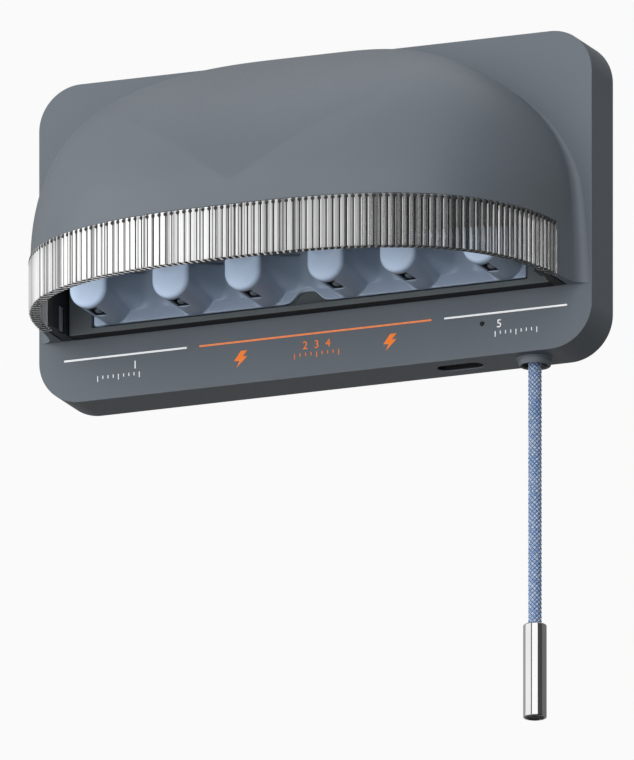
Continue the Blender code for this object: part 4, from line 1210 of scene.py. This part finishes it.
def prints():
    left = bmesh.new()
    bar(left, -102.8, -52.5, -45.8, 0.72)
    right = bmesh.new()
    bar(right, 52.6, 103.0, -45.8, 0.72)
    middle = bmesh.new()
    bar(middle, -47.5, 47.5, -45.8, 0.72)
    icons = bmesh.new()
    bolt = [(0.05, 1.0), (-1.0, -0.2), (-0.2, -0.2), (-0.62, -1.0), (0.98, 0.3), (0.24, 0.3), (0.98, 1.0)]
    for cx in (-30.5, 30.5):
        pts = [(cx + 2.75 * x, -52.6 + 3.2 * z) for x, z in bolt]
        loft(icons, [[(x, y, z) for x, z in pts] for y in (INK_Y, INK_Y + 0.12)])
    # short rules under the numerals, like a scale
    for cx, span, b, n in ((-80.5, 17.0, left, 9), (0.5, 18.0, icons, 9), (82.0, 17.0, right, 9)):
        for k in range(n):
            x = cx - span / 2 + span * k / (n - 1)
            long = 2.2 if k % 4 == 0 else 1.3
            pts = [(x - 0.17, -53.0), (x + 0.17, -53.0), (x + 0.17, -53.0 - long), (x - 0.17, -53.0 - long)]
            loft(b, [[(px, y, pz) for px, pz in pts] for y in (INK_Y, INK_Y + 0.12)])
    from_bm("print_line_left", left, white_ink, "unit", (), 0)
    from_bm("print_line_right", right, white_ink, "unit", (), 0)
    from_bm("print_line_middle", middle, orange_line_ink, "unit", (), 0)
    from_bm("print_icons", icons, orange_ink, "unit", (), 0)
    dress("print_numeral_left", glyphs("1", 3.1, -72.6, -51.6, "RIGHT"), white_ink, "unit", (), 0)
    dress("print_numeral_middle", glyphs("2  3  4", 3.1, 0.5, -51.6, "CENTER"), orange_ink, "unit", (), 0)
    dress("print_numeral_right", glyphs("5", 3.1, 74.0, -51.6, "LEFT"), white_ink, "unit", (), 0)


prints()


# ---------------------------------------------------------------- back of the unit and the wall side
def phillips(name, x, z, node):
    bm = bmesh.new()
    turned(
        bm,
        (x, -1.4, z),
        (0, -1, 0),
        [(0.0, 1.2), (0.12, 2.0), (0.45, 2.55), (0.8, 2.8), (1.6, 2.8), (1.6, 1.1), (11.6, 1.1), (12.2, 0.4)],
        40,
    )
    cross = bmesh.new()
    box(cross, x - 1.5, x + 1.5, -0.9, -2.3, z - 0.27, z + 0.27)
    other = bmesh.new()
    box(other, x - 0.27, x + 0.27, -0.9, -2.3, z - 1.5, z + 1.5)
    mesh = carve(bm, [("DIFFERENCE", cross), ("DIFFERENCE", other)])
    dress(name, mesh, zinc, "unit", (node,), 35)


for i, (x, z) in enumerate(COVER_SCREWS):
    phillips(f"cover_fastener_{i + 1}", x, z, f"cover_screw_{i + 1}")

bm = bmesh.new()
plate = lambda inset: rounded(75.0 - inset, 30.0 - inset, 6.0 - inset, 12, cz=10.0)
slab(bm, plate(0), -1.1, -2.7, 0.3, 0.3, plate, 3)
weigh(from_bm("wall_bracket_plate", bm, zinc, "wall_side", ("wall_plate",), 40))
bm = bmesh.new()
pad = lambda inset: rounded(73.0 - inset, 28.0 - inset, 5.0 - inset, 12, cz=10.0)
slab(bm, pad(0), 0.0, -0.8, 0.12, 0.12, pad, 2)
from_bm("wall_adhesive_pad", bm, foam, "wall_side", ("adhesive_pad",), 40)
for side, word in ((-1, "left"), (1, "right")):
    bm = bmesh.new()
    turned(bm, (side * 50.0, -3.0, 20.0), (0, -1, 0), [(0, 2.1), (2.6, 2.1), (2.6, 3.75), (2.8, 4.0), (3.6, 4.0), (3.95, 3.7), (4.1, 3.3)], 48)
    from_bm("wall_hook_stud_" + word, bm, zinc, "wall_side", ("wall_stud_" + word,), 35)
    bm = bmesh.new()
    turned(bm, (side * 90.0, -0.3, -32.0), (0, -1, 0), [(0, 4.2), (0.12, 4.55), (0.4, 4.85), (0.8, 5.0), (2.7, 5.0)], 48)
    from_bm("rear_bumper_" + word, bm, rubber, "unit", ("wall_bumper_" + word,), 35)

# ---------------------------------------------------------------- finishes of the CAD nodes that stay
FINISH = {
    "rear_cover": frame_grey,
    "uv_window": quartz,
    "uv_reflector": bright,
    "uv_led_board": board,
    "uv_led_1": ceramic,
    "uv_led_2": ceramic,
    "uv_led_3": ceramic,
    "main_board": board,
    "battery_pack": wrap,
    "battery_foam_pad": foam,
    "usb_socket": zinc,
    "micro_switch": dark,
    "switch_plunger": nylon,
    "slider_guide": dark,
    "guide_cap": dark,
    "cord_slider": nylon,
    "cord_ferrule": zinc,
    "indicator_led": ceramic,
    "indicator_light_pipe": dark,
    "return_spring": zinc,
    "battery_lead": wire,
    "uv_board_lead": wire,
    "hood_screw_1": zinc,
    "hood_screw_2": zinc,
    "hood_screw_3": zinc,
    "hood_screw_4": zinc,
    "board_screw_1": zinc,
    "board_screw_2": zinc,
    "frame_screw_1": zinc,
    "frame_screw_2": zinc,
}
for name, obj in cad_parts.items():
    if obj.hide_render:
        continue
    mat = FINISH[name]
    if not obj.material_slots:
        obj.data.materials.append(mat)
    for s in obj.material_slots:
        s.material = mat

# ---------------------------------------------------------------- light
def make_world():
    world = bpy.data.worlds.new("studio")
    scene.world = world
    world.use_nodes = True
    tree = world.node_tree
    nodes, links = tree.nodes, tree.links
    nodes.clear()

    def math_node(kind, a, b=None, clamp=False):
        n = nodes.new("ShaderNodeMath")
        n.operation, n.use_clamp = kind, clamp
        for slot, v in ((0, a), (1, b)):
            if v is None:
                continue
            if isinstance(v, (int, float)):
                n.inputs[slot].default_value = v
            else:
                links.new(v, n.inputs[slot])
        return n.outputs[0]

    def step(value, low, high):
        n = nodes.new("ShaderNodeMapRange")
        n.interpolation_type = "SMOOTHSTEP"
        n.inputs["From Min"].default_value, n.inputs["From Max"].default_value = low, high
        links.new(value, n.inputs["Value"])
        return n.outputs[0]

    def band(value, a, b, soft_a, soft_b):
        up = step(value, a - soft_a, a + soft_a)
        down = step(value, b - soft_b, b + soft_b)
        return math_node("MULTIPLY", up, math_node("SUBTRACT", 1.0, down))

    where = nodes.new("ShaderNodeTexCoord").outputs["Generated"]
    cut = nodes.new("ShaderNodeSeparateXYZ")
    links.new(where, cut.inputs[0])
    x, y, z = cut.outputs
    azimuth = math_node("MULTIPLY", math_node("ARCTAN2", x, math_node("MULTIPLY", y, -1.0)), 180 / math.pi)
    height = math_node("MULTIPLY", math_node("ARCSINE", z), 180 / math.pi)
    def box_light(a0, a1, soft_a, e0, e1, soft_e, power):
        lit = math_node("MULTIPLY", band(azimuth, a0, a1, soft_a, soft_a), band(height, e0, e1, soft_e, soft_e))
        return math_node("MULTIPLY", lit, power)

    light = None
    for spec in SOFTBOXES.values():
        lit = box_light(*spec)
        light = lit if light is None else math_node("ADD", light, lit)
    overhead = math_node("MULTIPLY", step(height, 46, 60), OVERHEAD)
    light = math_node("ADD", light, overhead)
    back = step(math_node("ABSOLUTE", azimuth), 96, 106)
    level = step(height, -60, -30)
    to_left = math_node("ADD", math_node("MULTIPLY", math_node("LESS_THAN", x, 0.0), 0.2), 0.8)
    wall_glow = math_node("MULTIPLY", math_node("MULTIPLY", back, level), to_left)
    light = math_node("ADD", light, math_node("MULTIPLY", wall_glow, BEHIND))
    # what shows through the clear parts is the pale backdrop itself
    through = math_node("MAXIMUM", light, math_node("MULTIPLY", back, BACKDROP))
    far_left = math_node("MULTIPLY", band(azimuth, -170, -80, 8, 4), THROUGH_LEFT)
    through = math_node("MAXIMUM", through, far_left)
    path = nodes.new("ShaderNodeLightPath")
    pick = nodes.new("ShaderNodeMix")
    links.new(path.outputs["Is Transmission Ray"], pick.inputs[0])
    links.new(light, pick.inputs[2])
    links.new(through, pick.inputs[3])
    studio = nodes.new("ShaderNodeBackground")
    links.new(pick.outputs[0], studio.inputs["Strength"])
    seen = nodes.new("ShaderNodeBackground")
    seen.inputs["Color"].default_value = (BACKDROP, BACKDROP, BACKDROP, 1)
    both = nodes.new("ShaderNodeMixShader")
    links.new(path.outputs["Is Camera Ray"], both.inputs[0])
    links.new(studio.outputs[0], both.inputs[1])
    links.new(seen.outputs[0], both.inputs[2])
    out = nodes.new("ShaderNodeOutputWorld")
    links.new(both.outputs[0], out.inputs[0])


# Large softboxes around the object: azimuth from and to (0 is straight in front, + is to the
# right) and how soft its edges are, then the same for the height, in degrees, then the power.
SOFTBOXES = {
    "left_panel": (-84, -17, 3, -15, 50, 6, 1.9),
    "front_panel": (-7, 49.5, 2, -9, 50, 7, 2.2),
    "low_front": (-80, 45, 14, -58, -14, 7, 1.25),
    "far_left": (-125, -84, 6, -20, 50, 8, 0.5),
    "right_return": (50, 105, 3, -5, 30, 10, 0.12),
}
OVERHEAD, BEHIND, BACKDROP, THROUGH_LEFT = 0.9, 0.38, 0.956, 2.6
make_world()

# the floor, far below the wall-mounted object
floor_bm = bmesh.new()
for x, y in ((-30, -30), (30, -30), (30, 30), (-30, 30)):
    floor_bm.verts.new((x, y, -1.2))
floor_bm.faces.new(list(floor_bm.verts))
floor_mesh = bpy.data.meshes.new("floor")
floor_bm.to_mesh(floor_mesh)
floor_bm.free()
floor_shade = Shade("floor_pale", 0.8, colour=(0.86, 0.86, 0.86))
floor_shade.colour(floor_shade.ramp(floor_shade.noise(0.4, 2.0), [(0.3, (0.85, 0.85, 0.85)), (0.7, (0.88, 0.88, 0.88))]))
floor_mesh.materials.append(floor_shade.mat)
floor = bpy.data.objects.new("floor", floor_mesh)
scene.collection.objects.link(floor)
floor.visible_diffuse = floor.visible_glossy = floor.visible_transmission = False
floor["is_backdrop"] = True

# ---------------------------------------------------------------- sizes of what is drawn
bpy.context.view_layer.update()
low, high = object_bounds()
